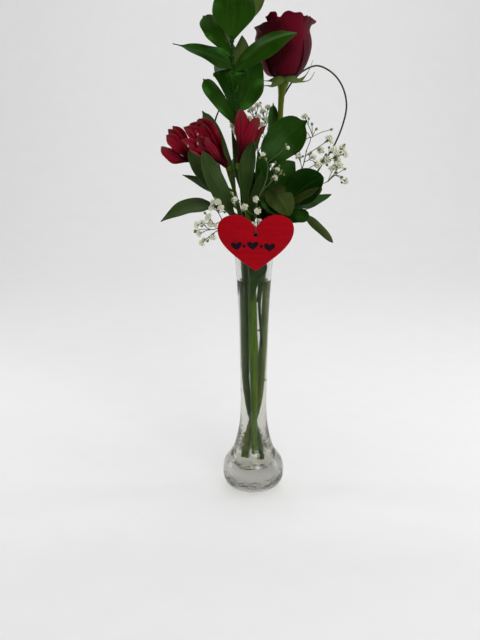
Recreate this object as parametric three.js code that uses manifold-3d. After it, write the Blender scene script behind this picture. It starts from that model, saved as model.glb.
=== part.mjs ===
// A red rose with alstroemeria, ruscus, baby's breath and bear grass in a clear glass bud vase
// with a round foot. A painted wooden heart is tied to the neck. Millimetres, +Z up. The origin
// is the middle of the foot, and the side that faces the viewer is -Y.
import * as THREE from "three";
import { mergeVertices } from "three/addons/utils/BufferGeometryUtils.js";
import Module from "manifold-3d";

const wasm = await Module();
wasm.setup();

// ---- Driving dimensions ----

const CLEARANCE = 0.3; // between two pieces that touch

const VASE_HEIGHT = 228;
const WALL = 2.2; // glass thickness up the neck
const FOOT_RADIUS = 16; // the flat spot that the vase stands on
const CAVITY_FLOOR = 18; // top of the solid glass at the bottom
const WATER_LEVEL = 185;
const VASE_SIDES = 24;
// Outer radius and height of the glass, from the edge of the foot to below the lip.
const VASE_OUTSIDE = [
  [FOOT_RADIUS, 0],
  [20, 1.4],
  [23.4, 4.6],
  [26, 10.8],
  [26.4, 17],
  [25.4, 23.4],
  [23.2, 28.2],
  [19.8, 32.8],
  [17.2, 37],
  [15.3, 43],
  [13.3, 51.2],
  [11.8, 61],
  [11.1, 78],
  [12.6, 150],
  [14.5, 184.8],
  [16.4, 206.5],
];
const LIP_RADIUS = 19.4;
// Inner radius and height of the hollow foot, from its floor up to where the neck's wall starts.
const CAVITY = [
  [9, CAVITY_FLOOR],
  [13.2, 20.5],
  [14.6, 27],
  [13, 36],
  [11, 48.5],
];

const LEAF_THICKNESS = 0.8;
const PETAL_THICKNESS = 0.7;
const TWIG_RADIUS = 0.4;
const SPRAY_STEM_RADIUS = 0.55;
const GRASS_RADIUS = 0.7;

// Stems, from the cut end up. They lean across one another in the neck without touching.
const ROSE_STEM = {
  radius: 2.3,
  steps: 17,
  points: [
    [-5.5, 1.5, 20.5],
    [-3.4, 1.2, 45],
    [0.3, 1.2, 64],
    [3.6, 1.8, 85],
    [5.2, 2.5, 120],
    [6.4, 3, 150],
    [8.3, 3, 190],
    [11, 3, 228.5],
    [17, 5, 255.5],
    [20.3, 7.5, 284.5],
    [21.3, 8, 320],
    [22, 8, 336],
  ],
};
const CENTRE_STEM = {
  radius: 2,
  steps: 14,
  points: [
    [0.8, -3.2, 24],
    [0.4, -3.6, 64],
    [-0.3, -4, 120],
    [-1.5, -5.5, 180],
    [-3.5, -9, 227],
    [-7, -12, 249.5],
    [-10.5, -14, 268],
    [-12.3, -15.6, 280],
  ],
};
const LEFT_STEM = {
  radius: 1.6,
  steps: 14,
  points: [
    [4.5, 5.4, 19.5],
    [1.6, 5.4, 45],
    [-1.3, 5.3, 64],
    [-3.8, 4.2, 90],
    [-5.2, 2.2, 120],
    [-6.2, 0, 165],
    [-8, -1, 200],
    [-9.5, -2, 228],
    [-13.5, -6, 249],
    [-17, -9, 264],
  ],
};
const TALL_STEM = {
  radius: 1.5,
  steps: 14,
  points: [
    [1.5, 6.5, 100],
    [0.5, 6.8, 130],
    [-2, 7.2, 165],
    [-4.5, 7.5, 200],
    [-7.5, 5.5, 228],
    [-10.5, 1, 262],
    [-12.5, -3.5, 290],
    [-13.5, -6, 311],
    [-15.5, -9, 333.5],
    [-17.5, -10, 357],
    [-18, -10, 384],
  ],
};
const MIDDLE_STEM = {
  radius: 1.1,
  steps: 10,
  points: [
    [5.6, -2.2, 128],
    [4.8, -2.8, 145],
    [3.7, -3.2, 165],
    [5, -3, 180],
    [7.5, -4, 205],
    [10, -6, 227.5],
    [11.5, -4, 257],
    [10.5, -6, 284],
  ],
};
const LOW_STEM = {
  radius: 1.2,
  steps: 9,
  points: [
    [2.8, -8.4, 168],
    [4.5, -9, 186],
    [7, -9, 205],
    [10.5, -11, 228],
    [17, -12.5, 238],
    [24, -13, 246],
    [30, -12.5, 253],
  ],
};

// ---- Solids ----

const vec = (p) => new THREE.Vector3(...p);
const direction = (p) => vec(p).normalize();

// A closed geometry as a solid that can be joined and cut.
function solid(geometry) {
  const bare = geometry.index ? geometry.clone() : geometry;
  bare.deleteAttribute("normal");
  bare.deleteAttribute("uv");
  const merged = mergeVertices(bare, 1e-3);
  const vertProperties = new Float32Array(merged.attributes.position.array);
  const triVerts = new Uint32Array(merged.index.array);
  const made = new wasm.Manifold(new wasm.Mesh({ numProp: 3, vertProperties, triVerts }));
  if (made.volume() > 0) return made;
  triVerts.reverse();
  return new wasm.Manifold(new wasm.Mesh({ numProp: 3, vertProperties, triVerts }));
}

const fused = (solids) => solids.reduce((whole, piece) => whole.add(piece));

function named(name, made, look) {
  const { vertProperties, triVerts } = made.getMesh();
  const geometry = new THREE.BufferGeometry();
  geometry.setAttribute("position", new THREE.BufferAttribute(vertProperties, 3));
  geometry.setIndex(new THREE.BufferAttribute(triVerts, 1));
  geometry.computeVertexNormals();
  const mesh = new THREE.Mesh(geometry, new THREE.MeshStandardMaterial(look));
  mesh.name = name;
  return mesh;
}

const curveOf = (points) => new THREE.CatmullRomCurve3(points.map(vec));

function tube(path, radius, sides, steps) {
  const corners = Array.from({ length: sides }, (_, i) => {
    const angle = (2 * Math.PI * i) / sides;
    return new THREE.Vector2(radius * Math.cos(angle), radius * Math.sin(angle));
  });
  const section = new THREE.Shape(corners);
  return solid(
    new THREE.ExtrudeGeometry(section, { steps, extrudePath: path, bevelEnabled: false }),
  );
}

const STEM_SIDES = 6;
const stemTube = ({ points, radius, steps, sides = STEM_SIDES }) =>
  tube(curveOf(points), radius, sides, steps);

// The point of a stem at a height. Stems only ever rise.
function stemAt(stem, height) {
  const curve = curveOf(stem.points);
  let low = 0;
  let high = 1;
  for (let halving = 0; halving < 30; halving += 1) {
    const middle = (low + high) / 2;
    if (curve.getPoint(middle).z < height) low = middle;
    else high = middle;
  }
  return curve.getPoint(low);
}

// A thin closed panel. surface(t, u) gives its middle point and face direction, with t from 0 at
// the root to 1 at the tip, and u from -1 to 1 across.
function sheet(rows, columns, thickness, surface) {
  const positions = [];
  for (const side of [0.5, -0.5]) {
    for (let row = 0; row <= rows; row += 1) {
      for (let column = 0; column <= columns; column += 1) {
        const { point, face } = surface(row / rows, (2 * column) / columns - 1);
        positions.push(...point.addScaledVector(face, side * thickness));
      }
    }
  }
  const layer = (rows + 1) * (columns + 1);
  const at = (row, column) => row * (columns + 1) + column;
  const index = [];
  // Both faces are split along the same diagonal.
  for (let row = 0; row < rows; row += 1) {
    for (let column = 0; column < columns; column += 1) {
      const a = at(row, column);
      const b = at(row, column + 1);
      const c = at(row + 1, column + 1);
      const d = at(row + 1, column);
      index.push(a, b, c, a, c, d);
      index.push(layer + a, layer + c, layer + b, layer + a, layer + d, layer + c);
    }
  }
  const rim = [];
  for (let column = 0; column < columns; column += 1) rim.push(at(0, column));
  for (let row = 0; row < rows; row += 1) rim.push(at(row, columns));
  for (let column = columns; column > 0; column -= 1) rim.push(at(rows, column));
  for (let row = rows; row > 0; row -= 1) rim.push(at(row, 0));
  rim.forEach((p, i) => {
    const q = rim[(i + 1) % rim.length];
    index.push(q, p, layer + p, q, layer + p, layer + q);
  });
  const geometry = new THREE.BufferGeometry();
  geometry.setAttribute("position", new THREE.Float32BufferAttribute(positions, 3));
  geometry.setIndex(index);
  return solid(geometry);
}

// Half widths along a blade, from 0 to 1. Each leaves a narrow root and a blunt tip to build on.
const hump = (t, skew, power) => Math.sin(Math.PI * Math.min(t, 1) ** skew) ** power;
const OUTLINES = {
  ovate: (t) => Math.max(0.06, hump(t, 0.8, 0.85)),
  round: (t) => Math.max(0.06, hump(t, 1, 0.6)),
  lance: (t) => Math.max(0.07, hump(t, 0.85, 1.05)),
  fan: (t) => Math.max(0.08, hump(t, 1.7, 0.8)),
  tepal: (t) => Math.max(0.12, 0.3 * (1 - t) + 0.9 * hump(t, 1.6, 1)),
  sepal: (t) => Math.max(0.14, t < 0.3 ? 0.45 + 1.8 * t : (1.3 - 1.3 * t) ** 1.6),
};

// A leaf or petal along a bowed rib. `facing` is the side that its upper face looks to, and `cup`
// is the angle in radians by which each edge turns up.
function blade(spec) {
  const { root, tip, width, facing, outline = "ovate", bow = [0, 0, 0] } = spec;
  const { cup = 0.35, rows = 5, columns = 2, thickness = LEAF_THICKNESS } = spec;
  const middle = root.clone().lerp(vec(tip), 0.5).add(vec(bow));
  const rib = new THREE.QuadraticBezierCurve3(root, middle, vec(tip));
  const look = direction(facing);
  return sheet(rows, columns, thickness, (t, u) => {
    const along = rib.getTangent(t);
    const across = along.clone().cross(look).normalize();
    const up = across.clone().cross(along).normalize();
    const half = (width / 2) * OUTLINES[outline](t);
    const turn = cup * u;
    const lift = (half / cup) * (1 - Math.cos(turn));
    const point = rib.getPoint(t);
    point.addScaledVector(across, (half / cup) * Math.sin(turn)).addScaledVector(up, lift);
    const face = up.multiplyScalar(Math.cos(turn)).addScaledVector(across, -Math.sin(turn));
    return { point, face };
  });
}

const leafOn = (stem, leaf) => blade({ ...leaf, root: stemAt(stem, leaf.at) });

// ---- Vase and water ----

const LIP = [
  [LIP_RADIUS, VASE_HEIGHT - 1.4],
  [LIP_RADIUS - 0.4, VASE_HEIGHT - 0.3],
  [LIP_RADIUS - WALL / 2, VASE_HEIGHT],
  [LIP_RADIUS - WALL + 0.4, VASE_HEIGHT - 0.3],
];

// Radius of the glass outside at a height.
function outerRadius(height) {
  const points = [...VASE_OUTSIDE, LIP[0]];
  const above = points.findIndex(([, z]) => z >= height);
  const [[r0, z0], [r1, z1]] = [points[above - 1], points[above]];
  return r0 + ((r1 - r0) * (height - z0)) / (z1 - z0);
}

// The hollow's wall, from the axis at its floor up to a height, kept `inset` inside the glass.
function cavityWall(top, inset) {
  const neck = [61, 78, 150, 206.5].filter((height) => height < top - 2);
  const sides = [
    ...CAVITY,
    ...neck.map((height) => [outerRadius(height) - WALL, height]),
    [outerRadius(top) - WALL, top],
  ];
  const floor = new THREE.Vector2(0, CAVITY_FLOOR + inset);
  return [floor, ...sides.map(([r, z], i) => new THREE.Vector2(r - inset, i ? z : z + inset))];
}

const lathe = (points, sides) =>
  solid(new THREE.LatheGeometry(points, sides).rotateX(Math.PI / 2));

function vase() {
  const outside = [[0, 0], ...VASE_OUTSIDE, ...LIP].map(([r, z]) => new THREE.Vector2(r, z));
  return lathe([...outside, ...cavityWall(VASE_HEIGHT - 1.4, 0).reverse()], VASE_SIDES);
}

// The water fills the hollow and leaves a plain hole round each stem that stands in it.
function water(stems) {
  const surface = new THREE.Vector2(0, WATER_LEVEL);
  const filled = lathe([...cavityWall(WATER_LEVEL, CLEARANCE), surface], 20);
  return stems.reduce((left, { points, radius, steps, sides = STEM_SIDES }) => {
    const [foot, next] = points.slice(0, 2).map(vec);
    const below = foot.clone().lerp(next, -1.02 * CLEARANCE / foot.distanceTo(next));
    const path = curveOf([below.toArray(), ...points.slice(1)]);
    return left.subtract(tube(path, radius + 1.2 * CLEARANCE, sides, steps));
  }, filled);
}

// ---- Rose ----

const ROSE_TILT = 0.02; // radians, leaning right
const ROSE_SEAT = [23.6, 8, 351.8]; // where the petals meet the hip
const ROSE_HEIGHT = 50;
// Outer radius of the bloom at heights above the seat, before the lips turn out.
const ROSE_BARREL = [
  [8.5, 0],
  [17, 10],
  [21.3, 22],
  [21, 34],
  [19.2, 44],
  [19.2, 56],
];
// Whorls of petals from the outside in: how many, how far in, how tall, and how far lips turn out.
const ROSE_WHORLS = [
  { petals: 5, scale: 1, height: 0.87, flare: 8, start: 0.35, rows: 4, columns: 3 },
  { petals: 5, scale: 0.82, height: 0.96, flare: 4.5, start: 1, rows: 4, columns: 3 },
  { petals: 3, scale: 0.61, height: 1, flare: 1.6, start: 0.5, rows: 3, columns: 4 },
  { petals: 2, scale: 0.39, height: 0.97, flare: 0.6, start: 1.3, rows: 3, columns: 5 },
];
const ROSE_SPIRAL = 1; // how far a petal's one edge stands outside its other
const SEPAL_LENGTH = 21;
const SEPAL_AZIMUTHS = [3.4, 2.5, 1.6, 0.7, -0.25]; // radians about the stem, none to the front

const roseFrame = () => {
  const lean = new THREE.Matrix4().makeRotationY(ROSE_TILT);
  return lean.setPosition(...ROSE_SEAT);
};

function barrelRadius(height) {
  const above = Math.max(1, ROSE_BARREL.findIndex(([, z]) => z >= height));
  const [[r0, z0], [r1, z1]] = [ROSE_BARREL[above - 1], ROSE_BARREL[above]];
  return r0 + ((r1 - r0) * (height - z0)) / (z1 - z0);
}

function rosePetal(whorl, order) {
  const turn = whorl.start + (2 * Math.PI * order) / whorl.petals;
  const spread = (1.2 * Math.PI) / whorl.petals;
  const tall = ROSE_HEIGHT * whorl.height * (1 - 0.03 * (order % 2));
  return sheet(whorl.rows, whorl.columns, PETAL_THICKNESS, (t, u) => {
    const angle = turn + u * spread * Math.min(1, 0.6 + t);
    const height = t * tall * (1 - 0.1 * u ** 4);
    const outward = 2 + 1.3 * Math.cos(whorl.petals * (angle - turn));
    const lip = whorl.flare * Math.max(0, height / ROSE_HEIGHT - 0.72) * outward;
    const layer = ROSE_SPIRAL * u * (0.6 + 0.4 * t);
    const radius = whorl.scale * barrelRadius(height) + lip + layer;
    const face = new THREE.Vector3(Math.cos(angle), Math.sin(angle), 0);
    const point = face.clone().multiplyScalar(radius).setZ(height);
    return { point, face };
  });
}

function roseBloom() {
  const core = [
    [0, 0],
    [9, 0],
    [8.8, 2],
    [6, 5],
    [5.4, 36],
    [0, 44],
  ];
  const heart = lathe(core.map(([radius, height]) => new THREE.Vector2(radius, height)), 8);
  const petals = ROSE_WHORLS.flatMap((whorl) =>
    Array.from({ length: whorl.petals }, (_, order) => rosePetal(whorl, order)),
  );
  return fused([heart, ...petals]).transform(roseFrame().elements);
}

// The hip under the bloom and its five sepals, which hang out and curl down.
function roseStem() {
  const hip = [
    [0, -17],
    [2.2, -17],
    [3, -10],
    [4.7, -5],
    [4.9, -2],
    [3.6, -CLEARANCE],
    [0, -CLEARANCE],
  ];
  const swelling = lathe(hip.map(([radius, height]) => new THREE.Vector2(radius, height)), 8);
  const sepals = SEPAL_AZIMUTHS.map((azimuth, i) => {
    const reach = SEPAL_LENGTH * (1 - 0.12 * (i % 2));
    const out = [reach * Math.cos(azimuth), reach * Math.sin(azimuth), -6.5 + 2 * (i % 3)];
    return blade({
      root: new THREE.Vector3(Math.cos(azimuth), Math.sin(azimuth), -3.6),
      tip: out,
      bow: [0, 0, -2.4],
      facing: [0, i === 2 ? 0.9 : -0.9, 0.8],
      width: 8,
      outline: "sepal",
      cup: 0.25,
      rows: 4,
    });
  });
  const top = fused([swelling, ...sepals]).transform(roseFrame().elements);
  return stemTube(ROSE_STEM).add(top);
}

// ---- Foliage ----

const TALL_LEAVES = [
  { at: 379, tip: [-15, -15, 431], width: 33, facing: [0.05, -1, 0.15], bow: [0, -4, 0] },
  { at: 383, tip: [13, 18, 425], width: 19, facing: [0.5, -1, 0.6], bow: [-2, 2, 8] },
  { at: 367, tip: [-41, -4, 399], width: 16, facing: [-0.5, -1, 0.3], bow: [-5, -3, -3] },
  { at: 357, tip: [-63, -23, 376], width: 18, facing: [-0.3, -1, 0.8], bow: [5, 0, 3] },
  { at: 359, tip: [-10, 14, 383.5], width: 14, facing: [0.4, -1, 0.3] },
  { at: 355.5, tip: [32, -30, 384.5], width: 19, facing: [0.2, -1, 0.9], bow: [-3, -4, 6] },
  { at: 325, tip: [1, -5, 364], width: 20, facing: [0.3, -1, 0.1], bow: [6, 2, 0] },
  { at: 314, tip: [-21, -31, 357], width: 33, facing: [0, -1, -0.2], bow: [4, 4, 6], outline: "fan" },
  { at: 311, tip: [-41, -6, 350], width: 16, facing: [-0.5, -1, 0.5], bow: [-4, -2, -3] },
  { at: 341, tip: [-32, 22, 363], width: 17, facing: [-0.5, 1, 0.8] },
  { at: 333, tip: [-3, 30, 340], width: 17, facing: [0.1, 1, 1], bow: [0, 0, 5] },
  { at: 373, tip: [-27, 20, 396], width: 16, facing: [-0.4, 1, 0.6] },
  { at: 264, tip: [-13, 38, 285], width: 17, facing: [0, 1, 1], bow: [0, 0, 6] },
];
const MIDDLE_LEAVES = [
  { at: 283, tip: [41, -16, 318], width: 31, facing: [0.35, -1, 0.1], bow: [-6, -2, 4], outline: "round" },
  { at: 250, tip: [3, -12, 291], width: 18, facing: [-0.1, -1, 0.2], bow: [-2, 0, 0] },
  { at: 252, tip: [19, -3, 281], width: 16, facing: [0.1, -1, 0.2], bow: [4, -3, 0] },
  { at: 276, tip: [17, 14, 330], width: 8, facing: [-0.3, -1, 0.1], bow: [1, 2, -4] },
];
const LOW_LEAVES = [
  { at: 252, tip: [57, -19, 272], width: 23, facing: [0.1, -1, 0.55], bow: [0, -2, 5], outline: "round" },
  { at: 239, tip: [35, -24, 259], width: 22, facing: [0.1, -1, 0.3], bow: [-2, -4, 2], outline: "round" },
  { at: 246, tip: [31, -7, 281], width: 16, facing: [0.1, -1, 0.2], bow: [2, 2, 0] },
  { at: 249, tip: [62, -8, 258], width: 11, facing: [0.1, -0.8, 1], bow: [0, 0, 1] },
  { at: 238, tip: [45.5, -16, 237], width: 14, facing: [0.1, -1, 0.6], bow: [0, 0, 1] },
  { at: 251, tip: [65.5, -2, 217.5], width: 8, facing: [0.9, -0.6, 0.5], bow: [5, 0, 6], outline: "lance" },
  { at: 242, tip: [49, 22, 243], width: 15, facing: [0.2, 0.6, 1], bow: [0, 0, -2] },
  { at: 206, tip: [0.8, -11.2, 187], width: 7, facing: [0, -1, 0], cup: 0.2 },
];
const LEFT_LEAVES = [
  { at: 226, tip: [-43, -39, 292], width: 20, facing: [0.35, -1, 0.2], bow: [-7, -5, -7] },
  { at: 244, tip: [-52, -26, 290], width: 16, facing: [-0.2, -1, 0.5], bow: [-2, 2, -4] },
  { at: 250, tip: [-59, 0, 273], width: 11, facing: [-0.2, -1, 0.9] },
  { at: 239, tip: [-78.5, -8, 235], width: 19, facing: [-0.1, -0.9, 1], bow: [0, 0, 20] },
  { at: 258, tip: [-43, 2, 324], width: 14, facing: [-0.1, -1, 0.2], bow: [8, 3, -6] },
  { at: 246, tip: [-46, 30, 268], width: 15, facing: [-0.3, 1, 1], bow: [0, 0, 6] },
];
const CENTRE_LEAVES = [
  { at: 240, tip: [-1, -28, 303], width: 17, facing: [-0.1, -1, 0.1], bow: [0, -3, 0] },
  { at: 256, tip: [-17.5, -7, 311], width: 13, facing: [-0.2, -1, 0.1], bow: [0, 4, 0] },
  { at: 232, tip: [6, -15, 280], width: 13, facing: [0.2, -1, 0.1], bow: [2, -1, 0] },
];

const leafyStem = (stem, leaves, outline = "ovate") =>
  fused([stemTube(stem), ...leaves.map((leaf) => leafOn(stem, { outline, ...leaf }))]);

// ---- Alstroemeria blooms ----

// Each bloom opens along a line from its base to the middle of its mouth. Its three outer tepals
// are wider than the three inner ones between them.
const BLOOMS = {
  far_left: {
    base: [-50, -2, 285],
    mouth: [-69, -1, 303],
    spread: 0.3,
    length: 30,
    widths: [16, 10],
    turn: 0.2,
  },
  open: {
    base: [-23, -14, 281],
    mouth: [-47, -21, 305],
    spread: 0.46,
    length: 38,
    widths: [18, 11],
    turn: 0.5,
  },
  centre: {
    base: [-12.4, -16, 284],
    mouth: [-4.5, -21.5, 320],
    spread: 0.3,
    length: 40,
    widths: [18, 11],
    turn: 0.1,
  },
};
const PEDICELS = {
  far_left: [[-16, -8.4, 260], [-30, -6, 267], [-42, -3.5, 276], [-49.2, -2, 284]],
  open: [[-16.4, -8.6, 262], [-19.5, -11, 271], [-22.6, -13.8, 280.4]],
};

function ovary(base, mouth) {
  const axis = vec(mouth).sub(vec(base)).normalize();
  const along = new THREE.Quaternion().setFromUnitVectors(new THREE.Vector3(0, 1, 0), axis);
  const pod = new THREE.SphereGeometry(2.4, 7, 5).scale(1, 1.3, 1).applyQuaternion(along);
  const seat = vec(base).addScaledVector(axis, -3.1 - CLEARANCE);
  return solid(pod.translate(...seat));
}

function alstroemeriaBloom({ base, mouth, spread, length, widths, turn }) {
  const axis = vec(mouth).sub(vec(base)).normalize();
  const upright = new THREE.Quaternion().setFromUnitVectors(new THREE.Vector3(0, 0, 1), axis);
  const funnel = new THREE.CylinderGeometry(2.6, 1.8, 7, 7).rotateX(Math.PI / 2);
  const throat = solid(funnel.translate(0, 0, 3.5));
  const tepals = Array.from({ length: 6 }, (_, order) => {
    const inner = order % 2;
    const azimuth = turn + (order * Math.PI) / 3;
    const out = new THREE.Vector3(Math.cos(azimuth), Math.sin(azimuth), 0);
    const reach = length * (inner ? 0.97 : 1);
    const radius = reach * Math.sin(spread) * (inner ? 0.78 : 1);
    return blade({
      root: out.clone().multiplyScalar(inner ? 1.2 : 1.6).setZ(0.6),
      tip: out.clone().multiplyScalar(radius).setZ(reach * Math.cos(spread)).toArray(),
      bow: out.clone().multiplyScalar(inner ? 1.2 : 3).setZ(2).toArray(),
      facing: out.clone().multiplyScalar(-1).toArray(),
      width: widths[inner],
      outline: "tepal",
      cup: 0.5,
      rows: inner ? 3 : 4,
      thickness: PETAL_THICKNESS,
    });
  });
  const place = new THREE.Matrix4().compose(vec(base), upright, new THREE.Vector3(1, 1, 1));
  return fused([throat, ...tepals]).transform(place.elements);
}

const pedicel = (name) =>
  tube(curveOf(PEDICELS[name]), 1.1, 6, 6).add(ovary(BLOOMS[name].base, BLOOMS[name].mouth));

// ---- Baby's breath ----

// Each spray is a stem and its twigs: where a twig leaves, its knee, then flowers and buds.
const SPRAYS = {
  right: {
    stem: [
      [9, 6.4, 176],
      [11, 6.5, 200],
      [13.5, 8.5, 228],
      [22, 11, 246],
      [33, 9, 262],
      [40, 4, 279],
      [43, 4, 293],
    ],
    twigs: [
      { from: 292, knee: [47, 4, 303], flowers: [[40, 1, 302]], buds: [[51, 6, 309], [63, 8, 309]] },
      { from: "knee", knee: [46, 4, 312], flowers: [[41, 2, 320]], buds: [] },
      { from: 290, knee: [52, 4, 297], flowers: [[61, 4, 301], [54, 8, 292]], buds: [] },
      { from: 279, knee: [42, 1, 283], flowers: [[48, 0, 287], [36, -4, 290]], buds: [[37, 0, 296]] },
      { from: 275, knee: [60, 5, 284], flowers: [[67, 8, 292], [57, 8, 288]], buds: [] },
      { from: "knee", knee: [66, 3, 283], flowers: [[74, 4, 290], [70, 0, 280]], buds: [[75, 6, 277]] },
      { from: 271, knee: [60, 5, 271], flowers: [[76, 6, 267]], buds: [[70, 6, 275]] },
    ],
  },
  left: {
    stem: [
      [-7, -7.5, 172],
      [-9, -8.5, 200],
      [-11, -10.4, 227.5],
      [-19, -18, 233.5],
      [-27, -22, 240],
    ],
    twigs: [
      { from: 239.5, knee: [-29, -24, 244], flowers: [[-35, -32, 251], [-30, -28.5, 248]], buds: [] },
      { from: 238.3, knee: [-33, -22, 236], flowers: [[-37, -27, 243], [-47, -20, 234]], buds: [] },
      { from: 236, knee: [-35, -22, 231], flowers: [[-43, -25, 235], [-45, -20, 227]], buds: [] },
      { from: 234, knee: [-32, -22, 229], flowers: [[-43, -23, 220], [-35, -25, 226]], buds: [] },
    ],
  },
  front: {
    stem: [
      [-3.5, -9.5, 174],
      [-2.4, -11.5, 205],
      [0, -14.5, 228],
      [0.5, -19, 242],
      [3, -21.5, 256],
      [9, -23, 270],
      [11, -24, 282],
    ],
    twigs: [
      { from: 236, knee: [-1, -19, 235], flowers: [[-3.5, -20.6, 237], [5.2, -20.4, 237.5]], buds: [] },
      { from: 242, knee: [-4, -22, 245], flowers: [[-9, -24.5, 250], [-16, -22, 255]], buds: [] },
      { from: 240.5, knee: [2, -22.5, 244], flowers: [[2, -26, 247]], buds: [] },
      { from: 255, knee: [5, -22.5, 256], flowers: [[1, -25, 258]], buds: [] },
      { from: 270, knee: [13, -23, 272], flowers: [[17, -23, 273], [19, -23.5, 281]], buds: [] },
      { from: 281, knee: [10, -25, 285], flowers: [[6, -26, 291], [26, -27, 298]], buds: [] },
    ],
  },
  back: {
    stem: [
      [1.8, 10.2, 175],
      [2, 11, 200],
      [3, 12, 228],
      [2, 14, 262],
      [3, 15, 290],
      [3.5, 15, 306],
    ],
    twigs: [
      { from: 305, knee: [1, 15, 315], flowers: [[1, 16, 325], [-5, 12, 322], [5, 12, 317]], buds: [] },
      { from: "knee", knee: [-5, 15, 318], flowers: [[-10, 14, 326], [-9, 11, 316]], buds: [[-3, 18, 329]] },
      { from: 303, knee: [9, 15, 314], flowers: [[9, 14, 323], [14.5, 18, 319]], buds: [[13, 16, 327]] },
      { from: 298, knee: [-8, 14, 305], flowers: [[-18, 13, 313]], buds: [] },
      { from: 290, knee: [9, 19, 295], flowers: [[15, 24, 301]], buds: [[4, 24, 301]] },
    ],
  },
};
const SPRAY_STEPS = 10;
const FLORET_RADIUS = 3.2;
const BUD_RADIUS = 1.1;

// A five-pointed star with a raised middle, on a short calyx that points back.
function floret(centre, facing) {
  const star = new THREE.ConeGeometry(FLORET_RADIUS, 0.9 * FLORET_RADIUS, 10);
  const position = star.attributes.position;
  for (let i = 0; i < position.count; i += 1) {
    const point = new THREE.Vector3().fromBufferAttribute(position, i);
    const out = Math.hypot(point.x, point.z);
    const step = Math.round((5 * Math.atan2(point.z, point.x)) / Math.PI + 20);
    if (out > 0.5 * FLORET_RADIUS && step % 2) point.multiply(new THREE.Vector3(0.62, 0.7, 0.62));
    if (out < 1e-3 && point.y < 0) point.y -= 0.3 * FLORET_RADIUS;
    position.setXYZ(i, point.x, point.y, point.z);
  }
  const turned = new THREE.Quaternion().setFromUnitVectors(new THREE.Vector3(0, -1, 0), facing);
  return solid(star.applyQuaternion(turned).translate(...centre));
}

function spray({ stem, twigs }) {
  const parts = [tube(curveOf(stem), SPRAY_STEM_RADIUS, 4, SPRAY_STEPS)];
  let fork = vec(stem[0]);
  for (const { from, knee, flowers, buds } of twigs) {
    const root = from === "knee" ? fork : stemAt({ points: stem }, from);
    const facings = flowers.map((flower) =>
      vec(flower).sub(vec(knee)).normalize().add(vec([0, -0.6, 0.3])).normalize(),
    );
    // The first flower stands at the end of the twig, and the others fork off half way along.
    const calyxes = flowers.map((flower, i) => vec(flower).addScaledVector(facings[i], -0.8));
    const main = new THREE.CatmullRomCurve3([root, vec(knee), calyxes[0]]);
    fork = main.getPointAt(0.5);
    parts.push(tube(main, TWIG_RADIUS, 3, 2));
    for (const end of [...calyxes.slice(1), ...buds.map(vec)]) {
      parts.push(tube(new THREE.LineCurve3(fork, end), TWIG_RADIUS, 3, 1));
    }
    flowers.forEach((flower, i) => parts.push(floret(flower, facings[i])));
    for (const bud of buds) {
      parts.push(solid(new THREE.OctahedronGeometry(BUD_RADIUS).translate(...bud)));
    }
  }
  return fused(parts);
}

// ---- Bear grass ----

const GRASS = {
  right: [
    [4, 6.3, 178],
    [4.5, 7, 200],
    [6.5, 8, 228],
    [13, 11, 251],
    [20, 14, 292],
    [22.8, 16, 318],
    [23.2, 18, 332.5],
    [27, 20, 340.5],
    [32.5, 20, 348.5],
    [40.5, 19, 356],
    [51.5, 18, 360],
    [63.5, 16, 354.5],
    [72, 16, 344],
    [76, 16, 329.5],
    [74, 16, 315],
    [66.5, 16, 295.5],
    [56.5, 16, 279.5],
    [38.5, 16, 252],
    [20, 13.5, 238],
    [9.5, 11.5, 227],
    [6.5, 10.5, 200],
    [5.6, 9.3, 178],
  ],
  left: [
    [-0.9, 10, 178],
    [-1.5, 10.8, 200],
    [-4, 11, 228],
    [-23.5, 8, 262],
    [-31.5, 7, 292.5],
    [-33, 6, 312],
    [-27.5, 6, 328],
    [-22, 8, 340],
  ],
};

// ---- Heart tag ----

const HEART_THICKNESS = 3;
const HEART_CLEFT = [1, -27.6, 233]; // front face, at the bottom of the cleft
const HEART_WIDTH = 61.8;
const HOLE_RADIUS = 1.85;
const HOLE_DROP = 5.3; // from the cleft to the middle of the hole
const CORD_RADIUS = 0.45;

function heartTag() {
  const half = HEART_WIDTH / 2;
  const outline = new THREE.Shape();
  outline.moveTo(0, 0);
  outline.bezierCurveTo(-4, 6.5, -10, 10.7, -16.5, 10.7);
  outline.bezierCurveTo(-25, 10.7, -half, 6, -half, -1);
  outline.bezierCurveTo(-half, -13.5, -17, -23.5, 0, -35.2);
  outline.bezierCurveTo(17, -23.5, half, -13.5, half, -1);
  outline.bezierCurveTo(half, 6, 25, 10.7, 16.5, 10.7);
  outline.bezierCurveTo(10, 10.7, 4, 6.5, 0, 0);
  const hole = new THREE.Path().absarc(0, -HOLE_DROP, HOLE_RADIUS, 0, 2 * Math.PI);
  outline.holes.push(hole);
  const plate = new THREE.ExtrudeGeometry(outline, {
    depth: HEART_THICKNESS,
    bevelEnabled: false,
    curveSegments: 8,
  });
  const [x, front, z] = HEART_CLEFT;
  return solid(plate.rotateX(Math.PI / 2).translate(x, front + HEART_THICKNESS, z));
}

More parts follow.
